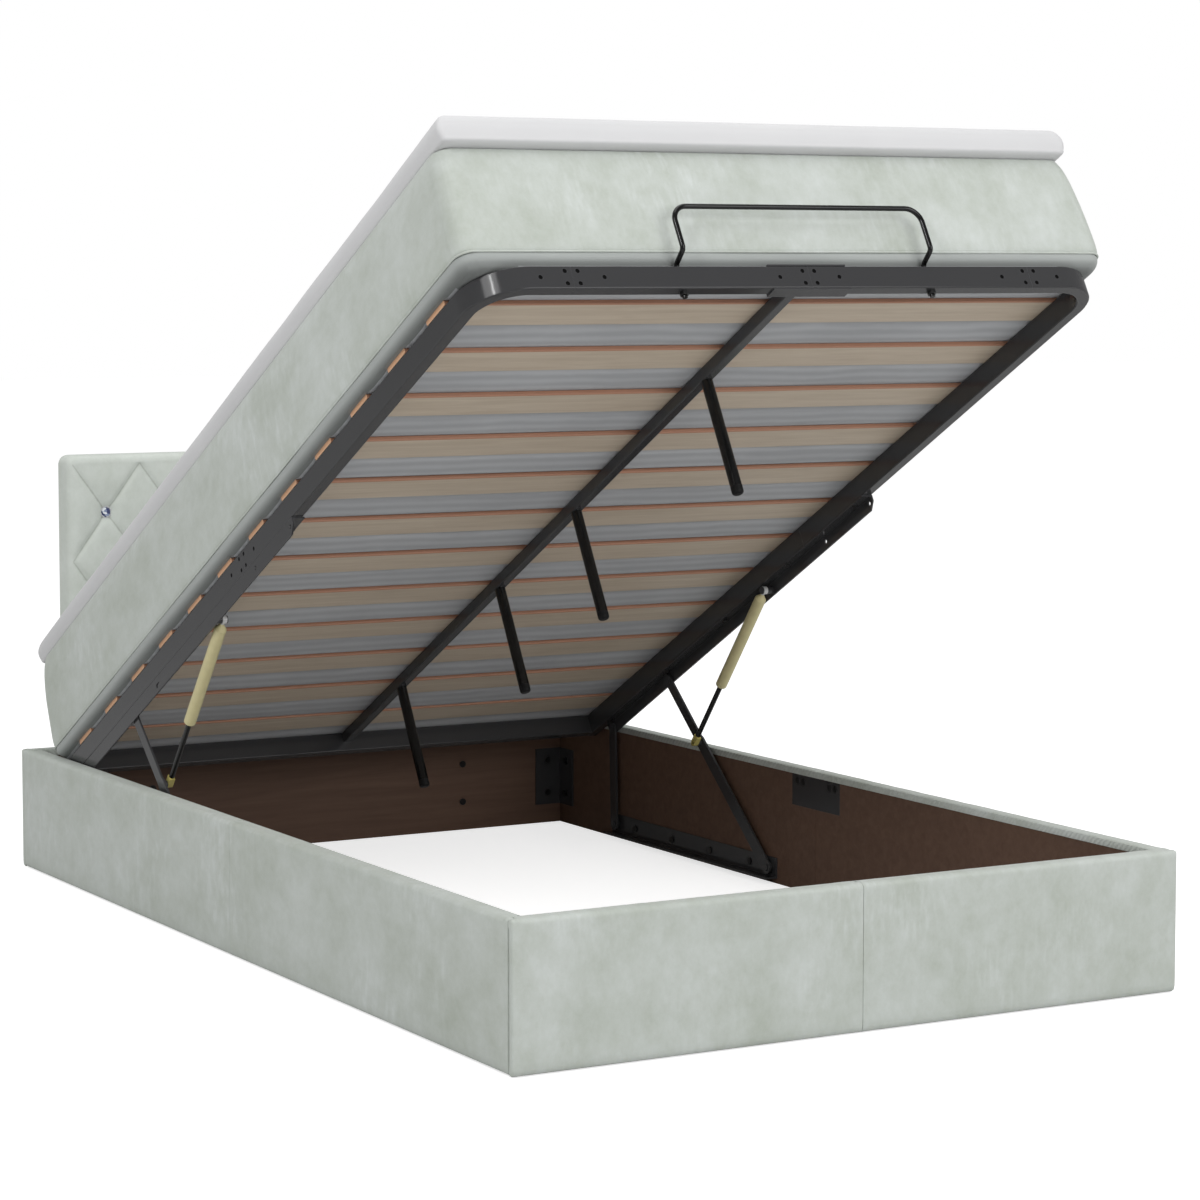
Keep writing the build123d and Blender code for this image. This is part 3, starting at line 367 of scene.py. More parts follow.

# %% [markdown]
# Stitches pull the headboard's velvet tight along its diamonds. The shaped foam gives the broad
# grooves, and a thin darker line is painted along them, partly for the stitching thread and partly
# as painted shade deep in each groove.

# %% Velvet with stitched diamonds
HALF_COLUMN = 0.0714
HALF_ROW = 0.097
PATTERN_TOP = 0.795
COLUMNS = 7
ROWS = 6
LINE_PITCH = 2 * HALF_COLUMN * HALF_ROW / math.hypot(HALF_COLUMN, HALF_ROW)
DARK_LINE_WIDTH = 0.0022

# Painted light: the headboard's velvet is the box's cloth made lighter and less contrasting, to
# stand in for light that the lamps bring too little of there.
velvet_tufted, tuft_tree, tuft_shader, tuft_place, tuft_pile = raised_velvet(
    "velvet_tufted", 0, light=(0.70, 0.74, 0.70, 1), dark=(0.51, 0.55, 0.49, 1)
)
front = axes_of(tuft_tree, tuft_place["Object"])
columns = maths(tuft_tree, "MULTIPLY_ADD", front["X"], 0.5 / HALF_COLUMN, COLUMNS / 2)
rows = maths(
    tuft_tree, "MULTIPLY_ADD", front["Z"], -0.5 / HALF_ROW, 0.5 * PATTERN_TOP / HALF_ROW
)
line_gaps = [
    maths(tuft_tree, "PINGPONG", maths(tuft_tree, join, columns, rows), 0.5)
    for join in ("ADD", "SUBTRACT")
]
nearest_line = maths(tuft_tree, "MINIMUM", *line_gaps)
on_stitch = spread(tuft_tree, nearest_line, 0.0, DARK_LINE_WIDTH / LINE_PITCH, 1.0, 0.0)
below_top = maths(tuft_tree, "LESS_THAN", front["Z"], PATTERN_TOP)
across_width = maths(tuft_tree, "ABSOLUTE", front["X"])
in_columns = maths(tuft_tree, "LESS_THAN", across_width, COLUMNS * HALF_COLUMN)
in_pattern = maths(tuft_tree, "MULTIPLY", below_top, in_columns)
thread_and_groove_shade = maths(tuft_tree, "MULTIPLY", on_stitch, in_pattern)
# Painted shade: the velvet is darkened along each line, partly for the thread and partly for the
# shade deep in the groove.
stitched = blend(tuft_tree, thread_and_groove_shade, tuft_pile["Color"], (0.78, 0.78, 0.76, 1), "MULTIPLY")
give(tuft_tree, tuft_shader, Base_Color=stitched)

# %% [markdown]
# ## Woven cloth
# The topper is a pale knit, and the mattress has a grey ticking underneath with faint stripes
# across the bed. Both are threads over and under each other, which two crossed waves imitate.

# %% The weave group
woven_cloth, weave_in, weave_out = start_group(
    "woven_cloth",
    [
        ("Vector", "Vector", None),
        ("Thread Light", "Color", (0.8, 0.8, 0.8, 1)),
        ("Thread Dark", "Color", (0.7, 0.7, 0.7, 1)),
        ("Thread Scale", "Float", 300.0),
        ("Stripe Strength", "Float", 0.0),
    ],
    [("Color", "Color"), ("Height", "Float")],
)
warp, weft = [
    add_node(
        woven_cloth,
        "TexWave",
        bands_direction=direction,
        Vector=weave_in["Vector"],
        Scale=weave_in["Thread Scale"],
        Distortion=0.4,
    ).outputs["Fac"]
    for direction in ("X", "Y")
]
stripes = add_node(
    woven_cloth,
    "TexWave",
    bands_direction="Y",
    Vector=weave_in["Vector"],
    Scale=11.0,
    Distortion=3.0,
    Detail=5.0,
    Detail_Scale=0.5,
).outputs["Fac"]
stripe_fade = maths(woven_cloth, "MULTIPLY", stripes, weave_in["Stripe Strength"])
cloth_clouds = clouded(woven_cloth, weave_in["Vector"], Scale=5.0, Detail=4.0)
shade = maths(woven_cloth, "SUBTRACT", cloth_clouds, stripe_fade, clamp=True)
give(
    woven_cloth,
    weave_out,
    Color=blend(woven_cloth, shade, weave_in["Thread Dark"], weave_in["Thread Light"]),
    Height=maths(woven_cloth, "MULTIPLY", warp, weft),
)

# %% [markdown]
# Below its piping the mattress rolls in behind the steel, where little light comes. The border
# cloth is darkened there by its height on the lid, in coordinates turned with the lid. In them,
# LID_RISE is how high the lid's own origin lies and LID_REACH is how far along.

# %% The topper's knit, the ticking and the border
LID_RISE = 0.567556
LID_REACH = 0.604580
BORDER_LOW = 0.0445
BORDER_HIGH = 0.058
BORDER_SHADE = 0.46


def cloth(name, light, dark, thread_scale, stripe_strength, sheen, shade_below=False):
    """A woven or knitted cloth on the tilted lid, in shade near the steel where asked."""
    look, tree, shader, place = start_material(
        name, 0.85, Specular_IOR_Level=0.25, Sheen_Weight=sheen, Sheen_Roughness=0.5
    )
    lid_space = turned(tree, place, LID_ANGLE)
    weave = add_group(
        tree,
        woven_cloth,
        lid_space,
        Thread_Light=light,
        Thread_Dark=dark,
        Thread_Scale=thread_scale,
        Stripe_Strength=stripe_strength,
    )
    colour = weave["Color"]
    if shade_below:
        height = axes_of(tree, lid_space)["Z"]
        depth = spread(tree, height, LID_RISE + BORDER_LOW, LID_RISE + BORDER_HIGH, BORDER_SHADE)
        colour = blend(tree, 1.0, colour, depth, "MULTIPLY")
    give(tree, shader, Base_Color=colour)
    raise_surface(tree, shader, weave["Height"], 0.3, 0.0005)
    return look


topper_knit = cloth("topper_knit", (0.68, 0.68, 0.685, 1), (0.62, 0.62, 0.63, 1), 260.0, 0.0, 0.1)
ticking = cloth("grey_ticking", (0.54, 0.555, 0.57, 1), (0.38, 0.39, 0.405, 1), 320.0, 0.5, 0.2)
border = cloth(
    "border_cloth",
    (0.44, 0.465, 0.45, 1),
    (0.35, 0.37, 0.36, 1),
    320.0,
    0.0,
    0.2,
    shade_below=True,
)

# %% [markdown]
# ## Wood and board
# The slats are bent plywood: pale beech faces with a fine grain along the slat, and a sealed
# red-brown edge that shows as a thin line on the lower face too. The panels behind the velvet
# are dark brown fibreboard. Grain is noise that is drawn out along the wood. The edge colour
# goes where the piece's own normal points sideways, and the line where a slat's width ends.

# %% The grain group
wood_grain, grain_in, grain_out = start_group(
    "wood_grain",
    [
        ("Vector", "Vector", None),
        ("Grain Light", "Color", (0.7, 0.5, 0.3, 1)),
        ("Grain Dark", "Color", (0.5, 0.35, 0.2, 1)),
        ("Grain Scale", "Float", 60.0),
    ],
    [("Color", "Color"), ("Height", "Float")],
)
along_grain = add_node(
    wood_grain, "Mapping", Vector=grain_in["Vector"], Scale=(0.06, 1.0, 1.0)
).outputs[0]
streaks = clouded(
    wood_grain,
    along_grain,
    Scale=grain_in["Grain Scale"],
    Detail=6.0,
    Roughness=0.65,
    Distortion=0.5,
)
streak_edges = spread(wood_grain, streaks, 0.32, 0.68)
give(
    wood_grain,
    grain_out,
    Color=blend(wood_grain, streak_edges, grain_in["Grain Dark"], grain_in["Grain Light"]),
    Height=streak_edges,
)

# %% The slats
FIRST_SLAT = 0.0968
LAST_SLAT = 1.8036
SLATS = 12
SLAT_PITCH = (LAST_SLAT - FIRST_SLAT) / (SLATS - 1)
SLAT_HALF = 0.0345
SEAL_WIDTH = 0.0042
SEAL_BLUR = 0.001

slat_look, slat_tree, slat_shader, slat_place = start_material(
    "beech_slat", 0.5, Specular_IOR_Level=0.4
)
slat_space = turned(slat_tree, slat_place, LID_ANGLE)
slat_grain = add_group(
    slat_tree,
    wood_grain,
    slat_space,
    Grain_Light=(0.62, 0.53, 0.42, 1),
    Grain_Dark=(0.52, 0.43, 0.33, 1),
    Grain_Scale=90.0,
)
slat_normal = add_node(
    slat_tree,
    "Mapping",
    vector_type="NORMAL",
    Vector=slat_place["Normal"],
    Rotation=(math.radians(LID_ANGLE), 0, 0),
).outputs[0]
slat_sides = axes_of(slat_tree, slat_normal)
long_edge = maths(slat_tree, "ABSOLUTE", slat_sides["Y"])
slat_count = maths(
    slat_tree,
    "MULTIPLY_ADD",
    axes_of(slat_tree, slat_space)["Y"],
    -1 / SLAT_PITCH,
    (LID_REACH - FIRST_SLAT) / SLAT_PITCH + 0.5,
)
seal_line = spread(
    slat_tree,
    maths(slat_tree, "FRACT", slat_count),
    0.5 + (SLAT_HALF - SEAL_WIDTH) / SLAT_PITCH,
    0.5 + (SLAT_HALF - SEAL_WIDTH + SEAL_BLUR) / SLAT_PITCH,
)
seal_mask = maths(slat_tree, "MAXIMUM", spread(slat_tree, long_edge, 0.45, 0.75), seal_line)
sealed = blend(slat_tree, seal_mask, slat_grain["Color"], (0.46, 0.235, 0.150, 1))
end_edge = maths(slat_tree, "ABSOLUTE", slat_sides["X"])
slat_ends = blend(slat_tree, end_edge, sealed, (0.72, 0.42, 0.25, 1))
give(slat_tree, slat_shader, Base_Color=slat_ends)
raise_surface(slat_tree, slat_shader, slat_grain["Height"], 0.15, 0.0004)


# %% The boards
def board(name, light, dark, roughness):
    """A flat board with a close, quiet grain."""
    look, tree, shader, place = start_material(name, roughness, Specular_IOR_Level=0.3)
    grain = add_group(
        tree,
        wood_grain,
        place["Object"],
        Grain_Light=light,
        Grain_Dark=dark,
        Grain_Scale=70.0,
    )
    give(tree, shader, Base_Color=grain["Color"])
    raise_surface(tree, shader, grain["Height"], 0.12, 0.0004)
    return look


brown_board = board("brown_board", (0.150, 0.088, 0.059, 1), (0.115, 0.065, 0.044, 1), 0.6)
back_board = board("back_board", (0.46, 0.36, 0.25, 1), (0.36, 0.27, 0.18, 1), 0.75)
leg_stain = board("leg_stain", (0.035, 0.024, 0.019, 1), (0.02, 0.014, 0.011, 1), 0.4)

# %% [markdown]
# ## Powder-coated steel
# The rails and bars are black powder coat: satin, with a very fine orange-peel bump, a little
# dust that greys it in places, and a paler line along sharp edges that is partly where the coat
# thins and partly a painted highlight of the light that rounded edges catch.

# %% The coat group
EDGE_ROUND = 0.0012

powder_coat, coat_in, coat_out = start_group(
    "powder_coat",
    [
        ("Vector", "Vector", None),
        ("Coat Colour", "Color", (0.02, 0.02, 0.022, 1)),
        ("Worn Colour", "Color", (0.09, 0.09, 0.095, 1)),
        ("Dust Strength", "Float", 0.2),
        ("Base Roughness", "Float", 0.4),
    ],
    [("Color", "Color"), ("Height", "Float"), ("Roughness", "Float")],
)
dust = clouded(powder_coat, coat_in["Vector"], Scale=14.0, Detail=6.0, Roughness=0.7)
dust_share = maths(
    powder_coat, "MULTIPLY", spread(powder_coat, dust, 0.45, 0.8), coat_in["Dust Strength"]
)
round_edge = add_node(powder_coat, "Bevel", samples=4, Radius=EDGE_ROUND)
true_face = powder_coat.nodes.new("ShaderNodeNewGeometry")
edge_turn = add_node(powder_coat, "VectorMath", operation="DOT_PRODUCT")
feed(powder_coat, edge_turn.inputs[0], round_edge.outputs[0])
feed(powder_coat, edge_turn.inputs[1], true_face.outputs["Normal"])
# Painted highlight: the paler colour on sharp edges stands partly for wear and partly for the
# light that a rounded edge catches.
edge_wear_and_highlight = spread(powder_coat, edge_turn.outputs["Value"], 0.98, 0.86)
dust_wear_and_highlight = maths(powder_coat, "MAXIMUM", edge_wear_and_highlight, dust_share)
give(
    powder_coat,
    coat_out,
    Color=blend(powder_coat, dust_wear_and_highlight, coat_in["Coat Colour"], coat_in["Worn Colour"]),
    Height=clouded(powder_coat, coat_in["Vector"], Scale=1400.0, Detail=1.0),
    Roughness=maths(powder_coat, "ADD", dust_share, coat_in["Base Roughness"]),
)


# %% The dark metals and the silver rims
def coated(name, colour, wear_and_highlight_colour, roughness, dust_strength, shine=0.4, metallic=0.0):
    """Painted or plated metal: the coat group with this piece's colours."""
    look, tree, shader, place = start_material(
        name, roughness, Metallic=metallic, Specular_IOR_Level=shine
    )
    # The second colour is for dust and wear, and on sharp edges it is also a painted highlight.
    coat = add_group(
        tree,
        powder_coat,
        place["Object"],
        Coat_Colour=(*colour, 1),
        Worn_Colour=(*wear_and_highlight_colour, 1),
        Dust_Strength=dust_strength,
        Base_Roughness=roughness,
    )
    give(tree, shader, Base_Color=coat["Color"], Roughness=coat["Roughness"])
    raise_surface(tree, shader, coat["Height"], 0.08, 0.0002)
    return look


frame_coat = coated("frame_coat", (0.045, 0.045, 0.047), (0.09, 0.09, 0.095), 0.12, 0.01, 0.34)
bolt_coat = coated("bolt_coat", (0.006, 0.006, 0.006), (0.05, 0.05, 0.05), 0.35, 0.0)
screw_black = coated("screw_black", (0.002, 0.002, 0.002), (0.002, 0.002, 0.002), 0.7, 0.0, 0.1)
cap_rubber = coated("cap_rubber", (0.006, 0.006, 0.006), (0.02, 0.02, 0.02), 0.45, 0.1, 0.2)
leg_gloss = coated("leg_gloss", (0.004, 0.004, 0.004), (0.02, 0.02, 0.02), 0.16, 0.0)
rim_silver = coated(
    "rim_silver", (0.72, 0.73, 0.75), (0.85, 0.85, 0.86), 0.18, 0.1, metallic=1.0
)

# %% [markdown]
# Each half of a strut has two finishes. The rod is black and its fork is plated yellow; the
# cylinder is painted cream and its eye is bare steel. The fork and the eye are what lies near
# their pivots, so a mask by distance from a point colours them.

# %% The struts
STRUT_FOOT = (0.37055, 0.24367)
STRUT_EYE = (0.11397, 0.56812)
FORK_REACH = 0.0196
EYE_REACH = 0.0100
DIRT_SHADE = 0.8


def two_tone(name, body_colour, end_colour, end_place, reach, roughness):
    """Paint with another colour within reach of a point in the side view."""
    look, tree, shader, place = start_material(name, roughness)
    axes = axes_of(tree, place["Object"])
    flat = add_node(tree, "CombineXYZ", Y=axes["Y"], Z=axes["Z"])
    away = add_node(tree, "VectorMath", operation="DISTANCE")
    feed(tree, away.inputs[0], flat.outputs[0])
    feed(tree, away.inputs[1], (0, *end_place))
    near = maths(tree, "LESS_THAN", away.outputs["Value"], reach)
    dirt = clouded(tree, place["Object"], Scale=60.0, Detail=4.0)
    shaded = [DIRT_SHADE * value for value in body_colour]
    streaked = blend(tree, dirt, (*body_colour, 1), (*shaded, 1))
    give(tree, shader, Base_Color=blend(tree, near, streaked, (*end_colour, 1)))
    return look


rod_look = two_tone(
    "strut_rod_paint", (0.005, 0.005, 0.005), (0.50, 0.43, 0.14), STRUT_FOOT, FORK_REACH, 0.2
)
strut_paint = two_tone(
    "strut_cream", (0.71, 0.64, 0.35), (0.60, 0.60, 0.60), STRUT_EYE, EYE_REACH, 0.35
)

# %% [markdown]
# ## Glass buttons
# The buttons are cut glass with foil behind, faintly blue. Foil-backed glass sends light back
# rather than letting it through, so the finish is partly a mirror under a clear coat. Its colour
# is cells of three shades, painted reflections of what the facets mirror, over the glass's faint
# blue.

# %% Cut glass
crystal_look, crystal_tree, crystal_shader, crystal_place = start_material(
    "cut_glass", 0.05, Metallic=0.35, IOR=1.55, Coat_Weight=1.0, Coat_Roughness=0.02
)
# Painted reflection: the near-white and dark cells stand for what each facet mirrors; the faint
# blue is the glass's own.
facet_cells = add_node(
    crystal_tree, "TexVoronoi", Vector=crystal_place["Object"], Scale=170.0
)
facet_reflection_colour = add_node(crystal_tree, "ValToRGB", Fac=facet_cells.outputs["Color"])
ramp = facet_reflection_colour.color_ramp
ramp.interpolation = "CONSTANT"
ramp.elements[0].color = (0.03, 0.045, 0.16, 1)
ramp.elements[1].color = (0.90, 0.94, 1.0, 1)
ramp.elements[1].position = 0.55
ramp.elements.new(0.36).color = (0.27, 0.33, 0.50, 1)
give(crystal_tree, crystal_shader, Base_Color=facet_reflection_colour.outputs["Color"])

# %% [markdown]
# ## Dress the frame
# Each CAD node takes the finish of the first row whose words are in its name. What no row names
# is a part of the black steel frame.

# %% Dress the CAD nodes that stay
FINISHES = (
    (slat_look, ("slats",)),
    (back_board, ("headboard_board",)),
    (leg_stain, ("headboard_legs",)),
    (crystal_look, ("headboard_crystals",)),
    (rim_silver, ("crystal_rims",)),
    (leg_gloss, ("support_legs", "pull_handle")),
    (cap_rubber, ("support_leg_caps",)),
    (brown_board, ("head_panel_board", "foot_board", "side_board")),
    (strut_paint, ("strut_cylinder",)),
    (rod_look, ("strut_rod",)),
    (screw_black, ("splice_screws",)),
    (bolt_coat, ("bolt", "screw", "nut")),
    (frame_coat, ("",)),
)
for node_name, node in frame["nodes"].items():
    finish = next(look for look, words in FINISHES if any(word in node_name for word in words))
    node.data.materials.clear()
    node.data.materials.append(finish)
print("nodes dressed", len(frame["nodes"]))

# %% [markdown]
# ## Modelling helpers
# Every new piece starts as a cube at its size and place, is cut into rows by bisecting planes,
# and is then shaped by moving its points. The helpers select by place, because an operator acts
# on all that is selected. A test in them sees the middle and the size of each edge or face.

# %% Helpers for shaping
def add_block(name, low, high):
    """A cube between two corners, alone in the selection, its place in its mesh."""
    bpy.ops.object.select_all(action="DESELECT")
    middle = [(a + b) / 2 for a, b in zip(low, high)]
    size = [b - a for a, b in zip(low, high)]
    bpy.ops.mesh.primitive_cube_add(size=1, location=middle, scale=size)
    piece = bpy.context.object
    piece.name = name
    bpy.ops.object.transform_apply(location=True, rotation=True, scale=True)
    return piece


def pick(piece, kind, test):
    """Select the edges or faces of a piece whose middle passes a test."""
    bpy.ops.object.mode_set(mode="EDIT")
    bpy.ops.mesh.select_mode(type=kind)
    bpy.ops.mesh.select_all(action="DESELECT")
    form = bmesh.from_edit_mesh(piece.data)
    for part in form.faces if kind == "FACE" else form.edges:
        corners = [v.co for v in part.verts]
        middle = sum(corners, Vector()) / len(corners)
        size = [max(c[i] for c in corners) - min(c[i] for c in corners) for i in range(3)]
        part.select_set(bool(test(middle, Vector(size))))
    form.select_flush_mode()
    bmesh.update_edit_mesh(piece.data)


def cut_rows(piece, axis, places):
    """Bisect the whole piece by planes across an axis."""
    across = [1.0 if i == axis else 0.0 for i in range(3)]
    bpy.ops.object.mode_set(mode="EDIT")
    for place in places:
        bpy.ops.mesh.select_all(action="SELECT")
        bpy.ops.mesh.bisect(plane_co=[place * a for a in across], plane_no=across)
    bpy.ops.object.mode_set(mode="OBJECT")


def steps(start, end, pitch):
    """Even places between two values, without the ends."""
    count = max(2, round(abs(end - start) / pitch))
    return [start + (end - start) * i / count for i in range(1, count)]


def move_points(piece, rule):
    """Give every point of a piece a new place by a rule on arrays of x, y and z."""
    count = len(piece.data.vertices)
    flat = np.zeros(count * 3)
    piece.data.vertices.foreach_get("co", flat)
    points = flat.reshape(-1, 3)
    moved = np.array(rule(points[:, 0].copy(), points[:, 1].copy(), points[:, 2].copy())).T
    piece.data.vertices.foreach_set("co", moved.ravel())
    piece.data.update()


def ripple(x, y, z, pitch, seed):
    """Smooth noise between about -1 and 1 at every point, with waves of a given length."""
    return np.array(
        [noise.noise(Vector((a / pitch + seed, b / pitch, c / pitch))) for a, b, c in zip(x, y, z)]
    )


def uneven(x, y, z, *waves):
    """A sum of ripples, each given by its height, the length of its waves and its seed."""
    return sum(height * ripple(x, y, z, pitch, seed) for height, pitch, seed in waves)


def soften(piece):
    """Finish a piece with one level of subdivision surface and smooth shading."""
    smooth = piece.modifiers.new("subdivision", "SUBSURF")
    smooth.levels = 1
    smooth.render_levels = 1
    bpy.ops.object.select_all(action="DESELECT")
    bpy.context.view_layer.objects.active = piece
    piece.select_set(True)
    bpy.ops.object.modifier_apply(modifier="subdivision")
    bpy.ops.object.shade_smooth()


# %% [markdown]
# ## Velvet panels of the box
# Each panel is a board wrapped in padding and velvet. The velvet rolls over the top edge and is
# fixed inside. A block is the front pad; its upper inside strip is pushed over the board's edge;
# the edges are rolled; then the face is let out by a millimetre or so, as padding does. Narrow
# seams stay open where two panels meet.

# %% Sizes of the box
HALF_WIDTH = 0.615
BOARD_FACE = 0.601
INNER_HALF = 0.585
FOOT_FACE = -1.064
HEAD_FACE = 1.002
PAD = 0.014
PANEL = 0.030
BOARD_TOP = 0.227
BOX_TOP = 0.236
HEM = 0.001
SEAM = 0.0006
MIDDLE = (FOOT_FACE + HEAD_FACE) / 2
ROLL = 0.010
LIP = 0.004
END_ROLL = 0.0025
PANEL_STEP = 0.016
PANEL_ROW = 0.02
FACE_SWELL = 0.0012
TOP_DROP = 0.0004
CLOSE = 1e-4
WELD = 1e-5


# %% The panel recipe
def padded_panel(name, span, cap_span, ends, place_point, node_name):
    """A padded panel along X: its face at Y = 0 and its board side at Y = PAD.

    cap_span is the stretch that goes over the board's edge, ends gives the roll at the low and
    high end, and place_point turns local points into the bed's.
    """
    piece = add_block(name, (span[0], 0, HEM), (span[1], PAD, BOX_TOP))
    cut_rows(piece, 2, [BOARD_TOP])
    cut_rows(piece, 0, [place for place in cap_span if span[0] < place < span[1]])
    pick(
        piece,
        "FACE",
        lambda m, s: m.y > PAD - CLOSE and m.z > BOARD_TOP and cap_span[0] < m.x < cap_span[1],
    )
    bpy.ops.mesh.extrude_region_move(TRANSFORM_OT_translate={"value": (0, PANEL - PAD, 0)})
    top_edge = BOX_TOP - CLOSE
    pick(piece, "EDGE", lambda m, s: s.x > PANEL_ROW and m.z > top_edge and m.y < CLOSE)
    bpy.ops.mesh.bevel(offset=ROLL, segments=5)
    pick(piece, "EDGE", lambda m, s: s.x > PANEL_ROW and m.z > top_edge and m.y > PANEL - CLOSE)
    bpy.ops.mesh.bevel(offset=LIP, segments=3)
    # An end is rolled along its face and over its top, and stays sharp where it is wrapped.
    for place, radius in zip(span, ends):
        pick(
            piece,
            "EDGE",
            lambda m, s: abs(m.x - place) < CLOSE
            and s.x < CLOSE
            and m.y < ROLL
            and (m.y - s.y / 2 <= CLOSE or m.z + s.z / 2 >= BOX_TOP - ROLL),
        )
        bpy.ops.mesh.bevel(offset=radius, segments=4, clamp_overlap=True)
    cut_rows(piece, 0, steps(span[0], span[1], PANEL_STEP))
    cut_rows(piece, 2, steps(HEM, BOX_TOP, PANEL_ROW))
    seed = 7.3 * len(bpy.data.objects)
    half = (span[1] - span[0]) / 2
    centre = (span[0] + span[1]) / 2

    def let_out(x, y, z):
        """Swell the face away from its edges and gather the velvet along the top."""
        along = np.clip(1 - np.abs((x - centre) / half) ** 14, 0, 1)
        upright = np.clip(1 - np.abs((z - BOX_TOP / 2) / (BOX_TOP / 2)) ** 6, 0, 1)
        face = np.clip(1 - y / PAD, 0, 1)
        waves = uneven(x, z, y, (0.0005, 0.16, seed), (0.0003, 0.045, seed + 3))
        swell = (FACE_SWELL + waves) * along * upright
        top = np.clip((z - BOARD_TOP) / (BOX_TOP - BOARD_TOP), 0, 1)
        gathers = uneven(x * 3.0, y, z, (0.0007, 0.05, seed + 9))
        return x, y - swell * face, z + (gathers - TOP_DROP) * top * along

    move_points(piece, let_out)
    move_points(piece, place_point)
    bpy.ops.object.mode_set(mode="EDIT")
    bpy.ops.mesh.select_all(action="SELECT")
    bpy.ops.mesh.remove_doubles(threshold=WELD)
    bpy.ops.mesh.normals_make_consistent(inside=False)
    bpy.ops.object.mode_set(mode="OBJECT")
    piece.data.materials.append(velvet_upright)
    soften(piece)
    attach(piece, "bed_base")
    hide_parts(node_name)
    print(name, "faces", len(piece.data.polygons))
    return piece


# %% The seven velvet panels
for side, side_name in ((-1, "left"), (1, "right")):
    for end, end_name in ((-1, "foot"), (1, "head")):
        outer = FOOT_FACE if end < 0 else HEAD_FACE
        seam = MIDDLE + end * SEAM / 2
        padded_panel(
            "side_velvet_" + side_name + "_" + end_name,
            sorted((seam, outer - end * (PAD + SEAM))),
            sorted((seam, outer - end * (PANEL + SEAM))),
            (END_ROLL, END_ROLL),
            lambda x, y, z, side=side: (side * (HALF_WIDTH - y), x, z),
            "side_cover_" + side_name + "_" + end_name,
        )
    seam = side * SEAM / 2
    padded_panel(
        "foot_velvet_" + side_name,
        sorted((seam, side * HALF_WIDTH)),
        sorted((seam, side * (BOARD_FACE - SEAM))),
        (END_ROLL, ROLL) if side > 0 else (ROLL, END_ROLL),
        lambda x, y, z: (x, FOOT_FACE + y, z),
        "foot_cover_" + side_name,
    )
padded_panel(
    "head_velvet",
    (-HALF_WIDTH, HALF_WIDTH),
    (-(BOARD_FACE - SEAM), BOARD_FACE - SEAM),
    (ROLL, ROLL),
    lambda x, y, z: (x, HEAD_FACE - y, z),
    "head_panel_cover",
)

# %% [markdown]
# The velvet is folded down inside the box and stapled along its edge, so a narrow gathered hem
# shows above the bare board.

# %% The hems inside the box
HEM_LOW = 0.2225
HEM_HIGH = 0.2345
HEM_THICK = 0.0015
HEM_ROUND = 0.0005
hem_foot = FOOT_FACE + PANEL
hem_head = HEAD_FACE - PANEL
hem_inner = INNER_HALF - HEM_THICK
HEMS = {
    "hem_left": ((-INNER_HALF, hem_foot), (-hem_inner, hem_head)),
    "hem_right": ((hem_inner, hem_foot), (INNER_HALF, hem_head)),
    "hem_foot": ((-hem_inner, hem_foot), (hem_inner, hem_foot + HEM_THICK)),
    "hem_head": ((-hem_inner, hem_head - HEM_THICK), (hem_inner, hem_head)),
}
for name, (low, high) in HEMS.items():
    hem = add_block(name, (*low, HEM_LOW), (*high, HEM_HIGH))
    pick(hem, "EDGE", lambda m, s: s.x > 1 or s.y > 1)
    bpy.ops.mesh.bevel(offset=HEM_ROUND, segments=2)
    bpy.ops.object.mode_set(mode="OBJECT")
    hem.data.materials.append(velvet_hem)
    bpy.ops.object.shade_smooth()
    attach(hem, "bed_base")

# %% [markdown]
# ## Tufted headboard
# The headboard is a slab of foam under velvet. Stitched lines cross it in diamonds, and a button
# is pulled deep into each crossing. The cloth dips in a soft groove along every line, dimples at
# the buttons, and swells between. A remeshed block gives even faces to press that pattern into.

# %% Shape the headboard
BOARD_HALF = 0.509
BOARD_LOW = 0.196
BOARD_HIGH = 0.812
BOARD_FRONT = 1.004
BOARD_BACK = 1.064
CORNER_ROUND = 0.018
FRONT_ROUND = 0.015
BACK_ROUND = 0.004
BACK_RIM = 0.014
BACK_DEPTH = 0.016
VOXEL = 0.004
GROOVE_DEPTH = 0.0042
GROOVE_WIDTH = 0.0042
TUFT_DEPTH = 0.0085
TUFT_WIDTH = 0.017
SWELL = 0.0045
SWELL_ROWS = 0.4
EDGE_MARGIN = 0.006
EDGE_FADE = 0.02
FRONT_FADE = 0.022

headboard = add_block(
    "headboard_velvet", (-BOARD_HALF, BOARD_FRONT, BOARD_LOW), (BOARD_HALF, BOARD_BACK, BOARD_HIGH)
)
pick(headboard, "EDGE", lambda m, s: s.y > 0.05)
bpy.ops.mesh.bevel(offset=CORNER_ROUND, segments=8)
pick(headboard, "EDGE", lambda m, s: m.y < BOARD_FRONT + CLOSE)
bpy.ops.mesh.bevel(offset=FRONT_ROUND, segments=6)
pick(headboard, "EDGE", lambda m, s: m.y > BOARD_BACK - CLOSE)
bpy.ops.mesh.bevel(offset=BACK_ROUND, segments=2)
pick(headboard, "FACE", lambda m, s: m.y > BOARD_BACK - CLOSE and s.x > 0.5 and s.z > 0.3)
bpy.ops.mesh.inset(thickness=BACK_RIM - BACK_ROUND)
bpy.ops.mesh.extrude_region_move(TRANSFORM_OT_translate={"value": (0, -BACK_DEPTH, 0)})
bpy.ops.object.mode_set(mode="OBJECT")
even = headboard.modifiers.new("even", "REMESH")
even.mode = "VOXEL"
even.voxel_size = VOXEL
bpy.ops.object.modifier_apply(modifier="even")


